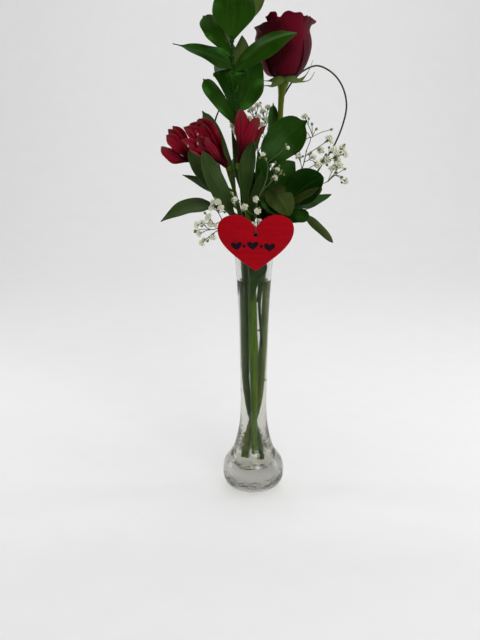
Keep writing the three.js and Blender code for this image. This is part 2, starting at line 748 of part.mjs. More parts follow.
// The cord runs round the neck under the lip, and a loop of it holds the heart by its hole.
function tagCord() {
  const height = 221;
  const ringRadius = outerRadius(height) + CLEARANCE + CORD_RADIUS;
  const ring = new THREE.CatmullRomCurve3(
    Array.from({ length: 12 }, (_, i) => {
      const angle = (i * Math.PI) / 6;
      return new THREE.Vector3(ringRadius * Math.cos(angle), ringRadius * Math.sin(angle), height);
    }),
    true,
  );
  const [x, front, z] = HEART_CLEFT;
  const middle = front + HEART_THICKNESS / 2;
  const loop = new THREE.CatmullRomCurve3(
    [
      [x, middle, z - HOLE_DROP],
      [x, front - 1.3, z - 2.5],
      [x, middle - 0.6, z + 3],
      [x, -22, z],
      [x, -ringRadius - 0.7, height + 5],
      [x, -ringRadius - 0.2, height + 0.5],
      [x, -ringRadius - 0.9, height - 1],
      [x, -ringRadius - 2.2, height + 2],
    ].map(vec),
    true,
  );
  return tube(ring, CORD_RADIUS, 4, 20).add(tube(loop, CORD_RADIUS, 4, 21));
}

// ---- The whole arrangement ----

const LOOKS = {
  glass: { color: 0xdfe6e2, roughness: 0.05, transparent: true, opacity: 0.35 },
  water: { color: 0xdfe4dc, roughness: 0.05, transparent: true, opacity: 0.5 },
  rose: { color: 0x5a0818, roughness: 0.7 },
  alstroemeria: { color: 0x8c1220, roughness: 0.6 },
  ruscus: { color: 0x1b3f0c, roughness: 0.4 },
  alstroemeriaLeaf: { color: 0x35482a, roughness: 0.6 },
  roseStem: { color: 0x5d7a1e, roughness: 0.6 },
  babysBreath: { color: 0xd0d0b4, roughness: 0.8 },
  grass: { color: 0x2c3a28, roughness: 0.6 },
  heart: { color: 0xa01020, roughness: 0.5 },
  cord: { color: 0x4a3528, roughness: 0.8 },
};

const sprayStem = (points) => ({ points, radius: SPRAY_STEM_RADIUS, steps: SPRAY_STEPS, sides: 4 });
const grassStem = (points) => ({
  points,
  radius: GRASS_RADIUS,
  steps: Math.round(1.5 * points.length),
  sides: 4,
});
const wetStems = [
  ROSE_STEM,
  CENTRE_STEM,
  LEFT_STEM,
  TALL_STEM,
  MIDDLE_STEM,
  LOW_STEM,
  ...Object.values(SPRAYS).map(({ stem }) => sprayStem(stem)),
  grassStem(GRASS.left),
  grassStem(GRASS.right),
  grassStem([...GRASS.right].reverse()),
];

const leftStem = fused([
  leafyStem(LEFT_STEM, LEFT_LEAVES, "lance"),
  pedicel("far_left"),
  pedicel("open"),
]);
const centreStem = leafyStem(CENTRE_STEM, CENTRE_LEAVES, "lance").add(
  ovary(BLOOMS.centre.base, BLOOMS.centre.mouth),
);

const arrangement = new THREE.Group();
arrangement.add(
  named("vase", vase(), LOOKS.glass),
  named("water", water(wetStems), LOOKS.water),
  named("heart_tag", heartTag(), LOOKS.heart),
  named("tag_cord", tagCord(), LOOKS.cord),
  named("rose_stem", roseStem(), LOOKS.roseStem),
  named("rose_bloom", roseBloom(), LOOKS.rose),
  named("ruscus_tall", leafyStem(TALL_STEM, TALL_LEAVES), LOOKS.ruscus),
  named("ruscus_middle", leafyStem(MIDDLE_STEM, MIDDLE_LEAVES), LOOKS.ruscus),
  named("ruscus_low", leafyStem(LOW_STEM, LOW_LEAVES), LOOKS.ruscus),
  named("alstroemeria_left", leftStem, LOOKS.alstroemeriaLeaf),
  named("alstroemeria_centre", centreStem, LOOKS.alstroemeriaLeaf),
);
for (const [place, bloom] of Object.entries(BLOOMS)) {
  arrangement.add(named(`bloom_${place}`, alstroemeriaBloom(bloom), LOOKS.alstroemeria));
}
for (const [place, parts] of Object.entries(SPRAYS)) {
  arrangement.add(named(`babys_breath_${place}`, spray(parts), LOOKS.babysBreath));
}
for (const [place, points] of Object.entries(GRASS)) {
  arrangement.add(named(`grass_${place}`, stemTube(grassStem(points)), LOOKS.grass));
}

export default arrangement;
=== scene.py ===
"""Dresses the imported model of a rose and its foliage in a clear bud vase.

Lengths in the tables below are millimetres in the part's own frame: +Z is up, the origin is the
middle of the vase's foot, and the viewer is at -Y. Pieces are scaled to metres when they are done.
"""

import math
import random

import bmesh
import bpy
from bpy.props import FloatProperty, FloatVectorProperty, IntProperty, PointerProperty
from mathutils import Matrix, Vector


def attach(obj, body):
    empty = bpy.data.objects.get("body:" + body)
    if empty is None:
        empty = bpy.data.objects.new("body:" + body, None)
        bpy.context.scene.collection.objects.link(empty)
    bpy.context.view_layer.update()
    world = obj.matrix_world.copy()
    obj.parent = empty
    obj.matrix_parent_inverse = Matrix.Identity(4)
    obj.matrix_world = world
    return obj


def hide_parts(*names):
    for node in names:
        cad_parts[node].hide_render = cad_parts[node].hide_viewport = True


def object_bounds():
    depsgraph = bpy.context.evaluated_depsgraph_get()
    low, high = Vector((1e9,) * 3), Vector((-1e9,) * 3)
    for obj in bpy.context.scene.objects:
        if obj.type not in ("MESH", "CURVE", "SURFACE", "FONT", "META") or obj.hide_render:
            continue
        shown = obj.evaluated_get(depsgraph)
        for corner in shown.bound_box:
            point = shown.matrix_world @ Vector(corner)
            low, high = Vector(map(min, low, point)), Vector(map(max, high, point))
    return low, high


bl_info = {
    "name": "Rose bud vase",
    "version": (1, 0, 0),
    "blender": (4, 5, 0),
    "location": "3D View > Sidebar > Bouquet",
    "description": "Dresses the packed model of a rose, its foliage and its vase with a heart tag",
    "category": "Object",
}

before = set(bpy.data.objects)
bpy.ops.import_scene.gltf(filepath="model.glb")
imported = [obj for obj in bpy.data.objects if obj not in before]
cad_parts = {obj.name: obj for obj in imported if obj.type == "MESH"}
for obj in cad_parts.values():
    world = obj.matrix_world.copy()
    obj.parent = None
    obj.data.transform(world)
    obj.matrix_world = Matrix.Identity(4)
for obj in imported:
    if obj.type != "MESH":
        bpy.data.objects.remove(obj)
CAD_BOX = [list(corner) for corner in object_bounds()]

MM = 0.001
UP = Vector((0, 0, 1))

# ---- Stems: radius, then the points from the cut end up, nearly as in the part's source ----

STEMS = {
    "rose": (2.3, [(-5.6, 1.5, 23), (-3.4, 1.2, 45), (0.3, 1.2, 64), (3.6, 1.8, 85),
                   (5.2, 2.5, 120), (6.4, 3, 150), (8.3, 3, 190), (11, 3, 228.5), (17, 5, 255.5),
                   (20.3, 7.5, 284.5), (21.3, 8, 320), (22, 8, 336)]),
    "centre": (2.0, [(0.9, -3.2, 30.5), (0.5, -3.6, 64), (-0.3, -4, 120), (-1.5, -5.5, 180),
                     (-3.5, -9, 227), (-7, -12, 249.5), (-10.5, -14, 268), (-12.3, -15.6, 280)]),
    "left": (1.6, [(5.4, 3.6, 19.3), (2.8, 4.9, 45), (-1.3, 5.3, 64), (-3.8, 4.2, 90),
                   (-5.2, 2.2, 120), (-6.2, 0, 165), (-8, -1, 200), (-9.5, -2, 228),
                   (-13.5, -6, 249), (-17, -9, 264)]),
    "tall": (1.5, [(1.5, 6.5, 100), (0.5, 6.8, 130), (-2, 7.2, 165), (-4.5, 7.5, 200),
                   (-7.5, 5.5, 228), (-10.5, 1, 262), (-12.5, -3.5, 290), (-13.5, -6, 311),
                   (-15.5, -9, 333.5), (-17.5, -10, 357), (-18, -10, 384)]),
    "middle": (1.1, [(5.6, -2.2, 128), (4.8, -2.8, 145), (3.7, -3.2, 165), (5, -3, 180),
                     (7.5, -4, 205), (10, -6, 227.5), (11.5, -4, 257), (10.5, -6, 284)]),
    "low": (1.2, [(2.8, -8.4, 168), (4.5, -9, 186), (7, -9, 205), (10.5, -11, 228),
                  (17, -12.5, 238), (24, -13, 246), (30, -12.5, 253)]),
}
# Where a stem swells or thins: height and factor on its radius.
SWELL = {
    "centre": [(24, 1.15), (70, 1.05), (100, 1.3), (130, 1.6), (170, 1.55), (210, 1.1), (280, 0.8)],
    "left": [(20, 1.35), (70, 1), (110, 1.5), (150, 1.9), (210, 1.9), (250, 1), (264, 0.8)],
    "tall": [(100, 1), (150, 1.35), (200, 1.35), (260, 1), (384, 0.6)],
    "middle": [(128, 0.9), (200, 1.1), (284, 0.7)],
    "low": [(168, 0.9), (228, 1.1), (253, 0.7)],
}
PEDICELS = {
    "far_left": [(-16, -8.4, 260), (-30, -6, 267), (-42, -3.5, 276), (-49.2, -2, 284)],
    "open": [(-16.4, -8.6, 262), (-19.5, -11, 271), (-22.6, -13.8, 280.4)],
}

# ---- Leaves: height on the stem, tip, width, facing, bow of the midrib, outline ----
# A last element may set the fold along the midrib, the cup across the leaf, its tone, or the side
# that its width points to. A tone set here paints light and shade: it makes that leaf lighter
# where it is lit and darker where it lies in shade. A leaf without one gets a random tone. A leaf
# that faces +Y shows the viewer its underside.

TALL_LEAVES = [
    (379, (-15, -15, 431), 34, (0.05, -1, 0.15), (0, -4, 0), "rhombic"),
    (383, (13, 18, 425), 19, (0.3, 1, -0.6), (-2, 2, 8), "ovate"),
    (367, (-41, -4, 398.5), 15, (-0.5, -1, 0.3), (-3, -3, 4.5), "oblong", {"tone": 0.8}),
    (361, (-64, -23, 377), 18, (-0.3, -1, 0.8), (0, 0, 3), "drip"),
    (350, (-10.2, 2, 383.5), 16, (-0.1, 1, 0.1), (6, 3, 0), "ovate", {"tone": 1.0}),
    (354.5, (32, -30, 384.5), 20, (0.2, -1, 0.7), (-3, -4, 11), "lens",
     {"fold": -0.45, "tone": 0.9}),
    (325, (1.5, -4, 368), 22, (0.3, -1, 0.1), (7, 2, -1), "ovate", {"tone": 0.6}),
    (316, (-20, 6, 343), 30, (0, -1, 0.1), (-4.5, -20, 54), "fan",
     {"side": (1, 0.1, 0.16), "cup": -0.6, "tone": 0.1}),
    (312, (-41.3, -6, 350), 12, (-0.5, -1, 0.5), (-2.2, -2, 4.5), "oblong", {"tone": 0.6}),
    (341, (-32, 22, 363), 17, (-0.5, 1, 0.8), (0, 0, 0), "ovate"),
    (333, (-3, 30, 340), 17, (0.1, 1, 1), (0, 0, 5), "ovate"),
    (373, (-27, 20, 396), 16, (-0.4, 1, 0.6), (0, 0, 0), "ovate"),
    (264, (-13, 38, 285), 17, (0, 1, 1), (0, 0, 6), "ovate"),
]
MIDDLE_LEAVES = [
    (283, (42, -16, 317.5), 31, (0.35, -1, 0.1), (-6, -2, 5), "hooked"),
    (246, (3, -14, 293), 15.5, (0.05, -1, 0.1), (1.5, -1, 0), "ovate", {"tone": 0.0}),
    (240, (11.8, -12, 279), 6.5, (0.3, -1, 0), (1.5, -1, 0), "lance", {"tone": 0.1}),
    (233, (-6, 2, 283), 16, (-0.1, -1, 0.1), (-2, 2, 0), "ovate", {"tone": 0.0}),
    (232, (19, 6, 281), 20, (0.1, -1, 0.1), (1, 2, 0), "ovate", {"tone": 0.0}),
    (250, (33, -5, 284), 21, (0.1, -1, 0.2), (-5, -3, 4), "blunt", {"tone": 0.5}),
    (276, (15.4, 14, 330.5), 9, (-0.3, -1, 0.1), (4, 2, -2), "oblong"),
    (266, (28, -27, 243), 23, (-0.2, 1, -0.3), (1, -3, 5), "round",
     {"fold": 0.3, "cup": -0.35, "tone": -0.3}),
    (260, (17, -24, 243), 14, (0.1, -1, 0.3), (-5, -3, 2), "lens", {"tone": 0.1}),
]
LOW_LEAVES = [
    (252, (55.5, -19, 273), 29, (0.1, -1, 0.55), (-3, -2, 5), "round", {"tone": -0.5}),
    (252, (54, -23, 265), 10, (0, 1, -0.2), (1, -4, -2), "round", {"tone": 0.1}),
    (246, (36, -4, 272), 16, (0.1, -1, 0.2), (2, 2, 0), "ovate", {"tone": 0.0}),
    (249, (63, -8, 258), 14, (0.1, -0.8, 1), (0, 0, -3.5), "ovate", {"tone": 0.3}),
    (238, (45.5, -16, 240), 13, (0.1, -1, 0.6), (0, 0, 4), "oblong"),
    (250, (65.5, -2, 217), 8, (-0.6, 1, -0.3), (4, 0, 3), "paddle", {"tone": 0.3}),
    (242, (49, 22, 243), 15, (0.2, 0.6, 1), (0, 0, -2), "ovate"),
    (204, (-3.6, -10.6, 189.5), 15, (0.1, -1, 0.1), (1.5, -1.5, -1), "ovate"),
    (206, (-1.5, -9.5, 167), 7, (0, -1, 0), (-4.5, 0, 2), "lance"),
]
LEFT_LEAVES = [
    (226, (-41, -39, 295), 16, (0.35, -1, 0.2), (-2.5, -5, -2), "paddle", {"tone": 0.5}),
    (244, (-52.5, -26, 294), 13.5, (-0.2, -1, 0.5), (-2, 2, -4), "paddle"),
    (252, (-59, 0, 273), 11, (-0.2, -1, 0.9), (0, 0, 3.5), "lance"),
    (239, (-77, -8, 235.5), 18, (-0.1, -0.9, 1), (0, 0, 22), "far", {"tone": 0.5}),
    (262, (-42.4, 2, 324.5), 9.5, (-0.1, -1, 0.2), (8, 3, 1.5), "crook", {"tone": 1.1}),
    (246, (-46, 30, 268), 15, (-0.3, 1, 1), (0, 0, 6), "lance"),
]
CENTRE_LEAVES = [
    (238, (-1, -28, 303), 12.5, (-0.1, -1, 0.1), (-7.5, -3, 4), "blunt", {"tone": 0.2}),
    (252, (-18.5, -7, 310), 8.5, (-0.2, -1, 0.1), (1, 4, 0), "lance", {"tone": 0.1}),
    (232, (6, -15, 280), 13, (0.2, -1, 0.1), (2, -1, 0), "lance", {"tone": 0.0}),
    (279, (6.3, -16, 311.5), 4.5, (0.2, -1, 0.1), (3, 0, -3), "lance"),
]

# ---- Alstroemeria blooms: base, tepals (tip, width, facing, bow), tips of the stamens ----
# A tepal's last element is its outline, where that isn't the one named "tepal".

BLOOMS = {
    "far_left": (
        (-50, -2, 285),
        [((-66.5, 2, 312.3), 9.5, (0.3, -1, 0), (3, 2, 2)),
         ((-69.9, -3, 310), 9.5, (0.2, -1, 0.2), (1, 0, 1)),
         ((-71.2, -7, 305.6), 12, (0.1, -1, 0.3), (1, -2, 0)),
         ((-75.2, -9, 296.6), 13.5, (-0.3, 0.8, -0.6), (-1, -4, -4)),
         ((-63, 8, 308), 10, (-0.2, -1, 0), (0, 3, 0)),
         ((-72, 5, 301.5), 10, (0.2, -0.8, 0.5), (0, 3, 0))],
        [(-62, 1, 302), (-61, 2, 300)]),
    "open": (
        (-22.8, -14, 281.5),
        [((-56.4, -19, 312.6), 14, (0.45, -1, 0.25), (1, 5, 5)),
         ((-51.5, -16, 315), 15, (0.3, -1, 0.1), (-1, 7, 4), "petal"),
         ((-45, -15, 318.6), 19, (0.1, -1, 0), (-1.5, 6, 3), "petal"),
         ((-42, -17, 315), 10.5, (-0.25, -1, 0.1), (-3.5, 5, 0), "petal"),
         ((-38.6, -27, 305), 8.5, (-0.7, 0.55, 0.1), (0.6, -5, -2), "petal"),
         ((-57.8, -28, 303.6), 12, (0.3, -0.7, 0.8), (-2, -1, 1)),
         ((-51.5, -33, 296), 14, (0.25, -0.5, 1), (-3, -1, 0)),
         ((-46, -24, 304), 14, (0.2, -1, 0.4), (-2, 4, 0), "petal")],
        [(-44.9, -33, 300.8), (-52.6, -31, 298.8), (-45.1, -28, 307.7)]),
    "centre": (
        (-12.2, -16, 285),
        [((-11.2, -22, 327), 11, (0.35, 1, 0), (0, -4, 0), "petal"),
         ((3, -22, 320), 11.5, (-0.45, 1, 0.1), (-0.5, -5, -2), "petal"),
         ((-5, -13, 319), 9, (0, -1, 0), (0, 2, 0)),
         ((8.8, -14, 313.5), 8, (-0.6, -0.5, 0.3), (0, 2, -1)),
         ((-8, -8, 322), 10, (0, -1, 0), (0, 3, 0)),
         ((-14, -10, 316), 9, (0.6, -0.5, 0), (1, 3, 0))],
        [(-6, -15, 307), (-8, -13, 308)]),
}

# ---- Baby's breath: the stem, then twigs (where it leaves, knee, flowers, buds) ----
# A twig leaves the stem at a height, or the twig before it at its knee. A flower may have a fourth
# value, its size.

SPRAYS = {
    "right": (
        [(9, 6.4, 176), (11, 6.5, 200), (13.5, 8.5, 228), (22, 11, 246), (33, 9, 262),
         (40, 4, 279), (43, 4, 293)],
        [(292, (46, 4, 303), [(40.2, 2, 300.7)], [(41.3, 2, 308.3)]),
         ("knee", (47.5, 4, 303.5), [(41.1, 2, 319.6)],
          [(47.1, 5, 313.8), (50.9, 6, 309.7), (63.4, 8, 309.2)]),
         (288, (51, 5, 294), [(61.3, 6, 300.8, 1.45), (54.3, 8, 292.5, 1.15)], []),
         (283, (45, 3, 285), [(48.2, 3, 287.2), (51.7, 4, 281.4, 1.2)], [(46.6, 4, 290.8)]),
         (277, (38, 1, 283), [(36.2, 1, 287.4)], [(36.9, 0, 293.6), (33.5, 2, 290)]),
         (273, (56, 6, 284), [(59.9, 4, 284.7, 1.2), (56.1, 8, 282.7), (65.4, 3, 292.1, 1.5)],
          [(60.1, 6, 280.4), (59, 5, 289)]),
         ("knee", (65, 5, 286), [(67.6, 8, 285.9, 1.3), (72.4, 8, 294.1, 1.15),
                                 (74.6, 5, 289.5, 1.15)], [(71, 4, 291)]),
         (262, (61, 5, 267), [(69.8, 4, 280.6, 1.55), (66, 6, 278, 1.1)],
          [(75, 6, 277.1), (68, 7, 274)]),
         ("knee", (66, 4, 272), [(75.7, 6, 267.2)], [(72.6, 5, 270.6)]),
         (255, (24, -4, 268), [], [(24.2, -6, 273.8), (24.2, -8, 262.7)]),
         (250, (17, -8, 268), [], [(20, -9, 281), (15, -9, 279), (22, -9, 277), (13, -10, 282),
                                   (17, -9, 284)])]),
    "left": (
        [(-7, -7.5, 172), (-9, -8.5, 200), (-11, -10.4, 227.5), (-19, -18, 233.5),
         (-27, -22, 240)],
        [(239.5, (-29, -25, 245), [(-32.9, -28, 253.5), (-26.9, -28, 249.4), (-34.2, -26, 249.2),
                                   (-29.3, -30, 254.5)], [(-23.7, -27, 246)]),
         (238.3, (-33, -23, 236), [(-37.5, -25, 240.5), (-35.5, -24, 236), (-46.5, -22, 234.8)],
          [(-40, -25, 245)]),
         (236, (-35, -22, 231), [(-42.4, -24, 236.5), (-44.6, -22, 227.4)], [(-48, -21, 230)]),
         (234, (-32, -22, 229), [(-42.6, -23, 220.2), (-33.6, -24, 225.3)], [(-38, -24, 222)])]),
    "front": (
        [(-3.5, -9.5, 174), (-2.4, -11.5, 205), (0, -14.5, 228), (0.5, -19, 242),
         (3, -21.5, 256), (9, -23, 270), (11, -24, 282)],
        [(236, (-1, -19, 235), [(-1.2, -21.5, 234.5), (4.5, -20.8, 236.8)], []),
         (242, (-4, -22, 245), [(-7.7, -25, 249.7), (-15.7, -24, 255.3)], [(-18.9, -22, 261.1)]),
         (240.5, (2, -22.5, 243), [(2.4, -26, 246.6)], []),
         (255, (4, -23, 255), [(1.2, -25, 256)], []),
         (262, (12, -20, 268), [(16.4, -18, 272.3, 0.9), (18.2, -16, 278.7, 0.8)],
          [(21, -18, 276)]),
         (281, (10, -24, 285), [(6.7, -24, 291.2, 0.8), (26, -27, 297, 0.62)], [(9, -24, 288)])]),
    "back": (
        [(1.8, 10.2, 175), (2, 11, 200), (3, 12, 228), (2, 14, 262), (3, 15, 290),
         (3.5, 15, 306)],
        [(305, (1, 15, 315), [(-1.8, 16, 324.5), (-3.5, 12, 317), (3.1, 14, 327.8),
                              (3.1, 14, 318.5)], [(-6.8, 14, 328.5)]),
         ("knee", (-5, 15, 316), [(-8.4, 12, 319), (-15.8, 11, 307), (-17.5, 12, 311.9)],
          [(-12, 14, 322), (-19.1, 12, 315)]),
         (303, (9, 15, 314), [(7.3, 16, 322.9), (11.4, 18, 326), (14.7, 16, 320.5),
                              (9.7, 14, 316.5)], [(16, 17, 326), (5, 17, 330)]),
         (298, (-4, 14, 307), [(-8.5, 12, 311), (-2, 13, 311.5)], []),
         (290, (9, 18, 300), [(13.2, 20, 314.5), (6.5, 15, 312), (15, 22, 303)],
          [(17, 18, 309), (4, 22, 304)])]),
}

GRASS = {
    "right": [(4, 6.3, 178), (4.5, 7, 200), (6.5, 8, 228), (13, 11, 251), (20, 14, 292),
              (22.8, 16, 318), (23.2, 18, 332.5), (27, 20, 340.5), (32.5, 20, 348.5),
              (40.5, 19, 356), (51.5, 18, 360), (63.5, 16, 354.5), (72, 16, 344),
              (76, 16, 329.5), (74, 16, 315), (66.5, 16, 295.5), (56.5, 16, 279.5),
              (38.5, 16, 252), (20, 13.5, 238), (9.5, 11.5, 227), (6.5, 10.5, 200),
              (5.6, 9.3, 178)],
    "left": [(-0.9, 10, 178), (-1.5, 10.8, 200), (-4, 11, 228), (-23.5, 8, 262),
             (-31.5, 7, 292.5), (-33, 6, 312), (-27.5, 6, 328), (-22, 8, 340)],
}

# ---- Vase: radius and height, from the middle of the foot round to the cavity's floor ----
# A small step in the cavity's wall, 34 to 36 mm up, draws the dark ring round the bulb.

VASE_PROFILE = [
    (0, 1.6), (9, 1.2), (13, 0.4), (15, 0), (16.6, 0.05), (18.6, 0.6), (20.4, 1.6), (22.2, 3.2),
    (23.8, 5.2), (25.2, 8), (26, 10.8), (26.4, 14), (26.4, 17), (26.1, 20.2), (25.4, 23.4),
    (24.4, 26), (23.2, 28.2), (21.6, 30.5), (19.8, 32.8), (18.4, 34.8), (17.2, 37),
    (16.2, 39.8), (15.3, 43), (14.2, 47), (13.3, 51.2), (12.5, 55.8), (11.8, 61), (11.3, 69),
    (11.1, 78), (11.4, 102), (12, 126), (12.6, 150), (13.4, 167), (14.5, 184.8), (15.3, 196),
    (16.4, 206.5), (17.7, 217), (19.1, 225), (19.35, 226.6), (19.25, 227.5), (18.7, 228),
    (17.9, 227.9), (17.4, 227.1), (17, 225.6), (15.6, 217), (14.2, 206.5), (13.1, 196),
    (12.3, 184.8), (11.2, 167), (10.4, 150), (9.8, 126), (9.2, 102), (8.9, 78), (9.1, 69),
    (9.6, 61), (10.2, 55), (11, 48.5), (11.9, 42.5), (13, 36), (13.15, 34.9), (13.75, 34.3),
    (14, 31.5), (14.6, 27), (14.3, 23.4), (13.2, 20.5), (11.4, 18.7), (9, 18), (4, 17.8),
    (0, 17.8),
]
# Water fills the cavity and goes into its wall by 0.06 mm, so that no gap shows between them. Its
# rim climbs the glass a little.
WATER_PROFILE = [
    (0, 17.75), (4, 17.75), (9.03, 17.95), (11.45, 18.65), (13.25, 20.47),
    *((r + 0.06, z) for r, z in VASE_PROFILE[-6:-22:-1]),
    (12.36, 185.4), (12.2, 185.5), (11.4, 184.9), (9.5, 184.6), (0, 184.6),
]

# ---- Small tools ----


def times(colour, factor):
    return [c * factor for c in colour]


def upright_to(direction):
    """The turn that takes +Z to a direction."""
    return UP.rotation_difference(direction).to_matrix().to_4x4()


def solid(create, **values):
    """A new part from one of bmesh's own create calls."""
    part = bmesh.new()
    create(part, **values)
    return part


def only(made, kind):
    """The new vertices, edges or faces out of what a bmesh call returns."""
    return [g for g in made["geom"] if isinstance(g, kind)]


def chain(bm, points):
    """Joins points into a row of edges. Returns its vertices and its edges."""
    verts = [bmesh.ops.create_vert(bm, co=point)["vert"][0] for point in points]
    return verts, [bm.edges.new(pair) for pair in zip(verts, verts[1:])]


def linked(name, data):
    """A new object in the scene."""
    made = bpy.data.objects.new(name, data)
    bpy.context.scene.collection.objects.link(made)
    return made


def smooth_path(points, spans=6):
    """Points along a centripetal curve through the given ones, as the part's source draws it."""
    pts = [Vector(p) for p in points]
    pts = [2 * pts[0] - pts[1]] + pts + [2 * pts[-1] - pts[-2]]
    path = []
    for i in range(1, len(pts) - 2):
        p0, p1, p2, p3 = pts[i - 1 : i + 3]
        d0, d1, d2 = (max((b - a).length ** 0.5, 1e-4) for a, b in ((p0, p1), (p1, p2), (p2, p3)))
        t1 = ((p1 - p0) / d0 - (p2 - p0) / (d0 + d1) + (p2 - p1) / d1) * d1
        t2 = ((p2 - p1) / d1 - (p3 - p1) / (d1 + d2) + (p3 - p2) / d2) * d1
        for step in range(spans):
            t = step / spans
            path.append(p1 * (2 * t**3 - 3 * t**2 + 1) + t1 * (t**3 - 2 * t**2 + t)
                        + p2 * (3 * t**2 - 2 * t**3) + t2 * (t**3 - t**2))
    return path + [pts[-2]]


def point_at(path, height):
    """The first point of a rising path at a height."""
    for a, b in zip(path, path[1:]):
        if a.z <= height <= b.z:
            return a.lerp(b, (height - a.z) / max(b.z - a.z, 1e-6))
    return path[-1].copy()


def between(table, x):
    """Reads a table of (x, value) rows, straight between them."""
    for (x0, a), (x1, b) in zip(table, table[1:]):
        if x <= x1:
            return a + (b - a) * max(0, x - x0) / max(x1 - x0, 1e-9)
    return table[-1][1]


def frames(path):
    """A turn for each point of a path, so that a cross-section follows it without twisting."""
    turns, last = [], None
    for i in range(len(path)):
        along = (path[min(i + 1, len(path) - 1)] - path[max(i - 1, 0)]).normalized()
        if last is None:
            turn = UP.rotation_difference(along)
        else:
            turn = last[0].rotation_difference(along) @ last[1]
        last = (along, turn)
        turns.append(turn)
    return turns


def sweep(path, radius, sides=8, wide=1.0):
    """A closed tube along a path. radius is a number or a function of 0 to 1 along it."""
    reach = radius if callable(radius) else lambda t: radius
    places = []
    for i, (point, turn) in enumerate(zip(path, frames(path))):
        half = reach(i / (len(path) - 1))
        places.append(Matrix.Translation(point) @ turn.to_matrix().to_4x4()
                      @ Matrix.Diagonal((half * wide, half, 1, 1)))
    bm = solid(bmesh.ops.create_circle, cap_ends=False, segments=sides, radius=1)
    edges = bm.edges[:]
    bmesh.ops.transform(bm, matrix=places[0], verts=bm.verts[:])
    for before, after in zip(places, places[1:]):
        made = bmesh.ops.extrude_edge_only(bm, edges=edges)
        edges = only(made, bmesh.types.BMEdge)
        bmesh.ops.transform(bm, matrix=after @ before.inverted(),
                            verts=only(made, bmesh.types.BMVert))
    bmesh.ops.holes_fill(bm, edges=[e for e in bm.edges if e.is_boundary])
    bmesh.ops.recalc_face_normals(bm, faces=bm.faces)
    return bm


def sheet(rows, columns, thickness, place):
    """A thin closed sheet. place(t, u) is its front, t from root to tip and u from -1 to 1.

    Its front has material 0, and its back and rim have material 1.
    """
    bm = bmesh.new()
    bm.loops.layers.uv.new("UVMap")
    bmesh.ops.create_grid(bm, x_segments=columns, y_segments=rows, size=0.5, calc_uvs=True)
    for vert in bm.verts:
        vert.co = Vector(place(vert.co.y + 0.5, vert.co.x * 2))
    bm.normal_update()
    front = bm.faces[:]
    offsets = {vert: vert.normal * -thickness for vert in bm.verts}
    made = bmesh.ops.duplicate(bm, geom=bm.verts[:] + bm.edges[:] + front)
    for vert, offset in offsets.items():
        made["vert_map"][vert].co += offset
    bmesh.ops.reverse_faces(bm, faces=only(made, bmesh.types.BMFace))
    bmesh.ops.bridge_loops(bm, edges=[edge for edge in bm.edges if edge.is_boundary])
    kept = set(front)
    for face in bm.faces:
        face.material_index = 0 if face in kept else 1
    bmesh.ops.recalc_face_normals(bm, faces=bm.faces[:])
    return bm


def hump(skew, power, least=0.03):
    """A width along a leaf that rises and falls once."""
    return lambda t: max(least, math.sin(math.pi * min(max(t, 0), 1) ** skew) ** power)


def rows_shape(rows):
    """A width along a leaf that passes through the given (place, share) rows without corners."""
    curve = smooth_path([(place, share, 0) for place, share in rows])
    return lambda t: between([(p.x, p.y) for p in curve], t)


# The share of a leaf's or petal's width along it, from its root at 0 to its tip at 1.
OUTLINES = {
    "ovate": hump(0.8, 0.85),
    "round": hump(1, 0.6),
    "lance": hump(0.85, 1.05),
    "lens": hump(0.97, 0.85),
    "blunt": hump(1.7, 0.9),
    "fan": hump(1.25, 0.7, 0.05),
    "rhombic": rows_shape([(0, 0.04), (0.12, 0.34), (0.28, 0.78), (0.38, 0.98), (0.46, 1),
                           (0.6, 0.92), (0.8, 0.6), (0.92, 0.28), (1, 0.03)]),
    "oblong": rows_shape([(0, 0.16), (0.15, 0.46), (0.35, 0.82), (0.55, 1), (0.78, 0.96),
                          (0.89, 0.74), (0.94, 0.42), (0.965, 0.12), (1, 0.03)]),
    "drip": rows_shape([(0, 0.4), (0.08, 0.8), (0.2, 1), (0.4, 0.86), (0.6, 0.6), (0.75, 0.34),
                        (0.83, 0.12), (0.88, 0.05), (1, 0.03)]),
    "hooked": rows_shape([(0, 0.05), (0.08, 0.42), (0.25, 0.85), (0.45, 1), (0.66, 0.97),
                          (0.82, 0.76), (0.9, 0.46), (0.94, 0.14), (1, 0.03)]),
    "paddle": rows_shape([(0, 0.06), (0.2, 0.22), (0.35, 0.52), (0.48, 0.9), (0.6, 1),
                          (0.78, 0.95), (0.88, 0.72), (0.95, 0.42), (1, 0.04)]),
    "far": rows_shape([(0, 0.08), (0.3, 0.16), (0.4, 0.45), (0.5, 0.88), (0.58, 1), (0.72, 0.85),
                       (0.86, 0.45), (0.95, 0.16), (1, 0.03)]),
    "crook": rows_shape([(0, 0.3), (0.2, 0.6), (0.42, 0.72), (0.6, 0.9), (0.78, 1), (0.9, 0.8),
                         (0.95, 0.4), (0.975, 0.14), (1, 0.03)]),
    "petal": rows_shape([(0, 0.28), (0.18, 0.42), (0.36, 0.7), (0.55, 0.95), (0.7, 1),
                         (0.84, 0.93), (0.93, 0.72), (0.975, 0.4), (1, 0.1)]),
    "tepal": rows_shape([(0, 0.3), (0.15, 0.42), (0.35, 0.7), (0.55, 0.96), (0.66, 1),
                         (0.8, 0.88), (0.9, 0.62), (0.955, 0.34), (0.98, 0.14), (1, 0.04)]),
    "sepal": rows_shape([(0, 0.62), (0.1, 0.9), (0.25, 1), (0.42, 0.72), (0.55, 0.34), (0.68, 0.14),
                         (0.85, 0.08), (1, 0.05)]),
}


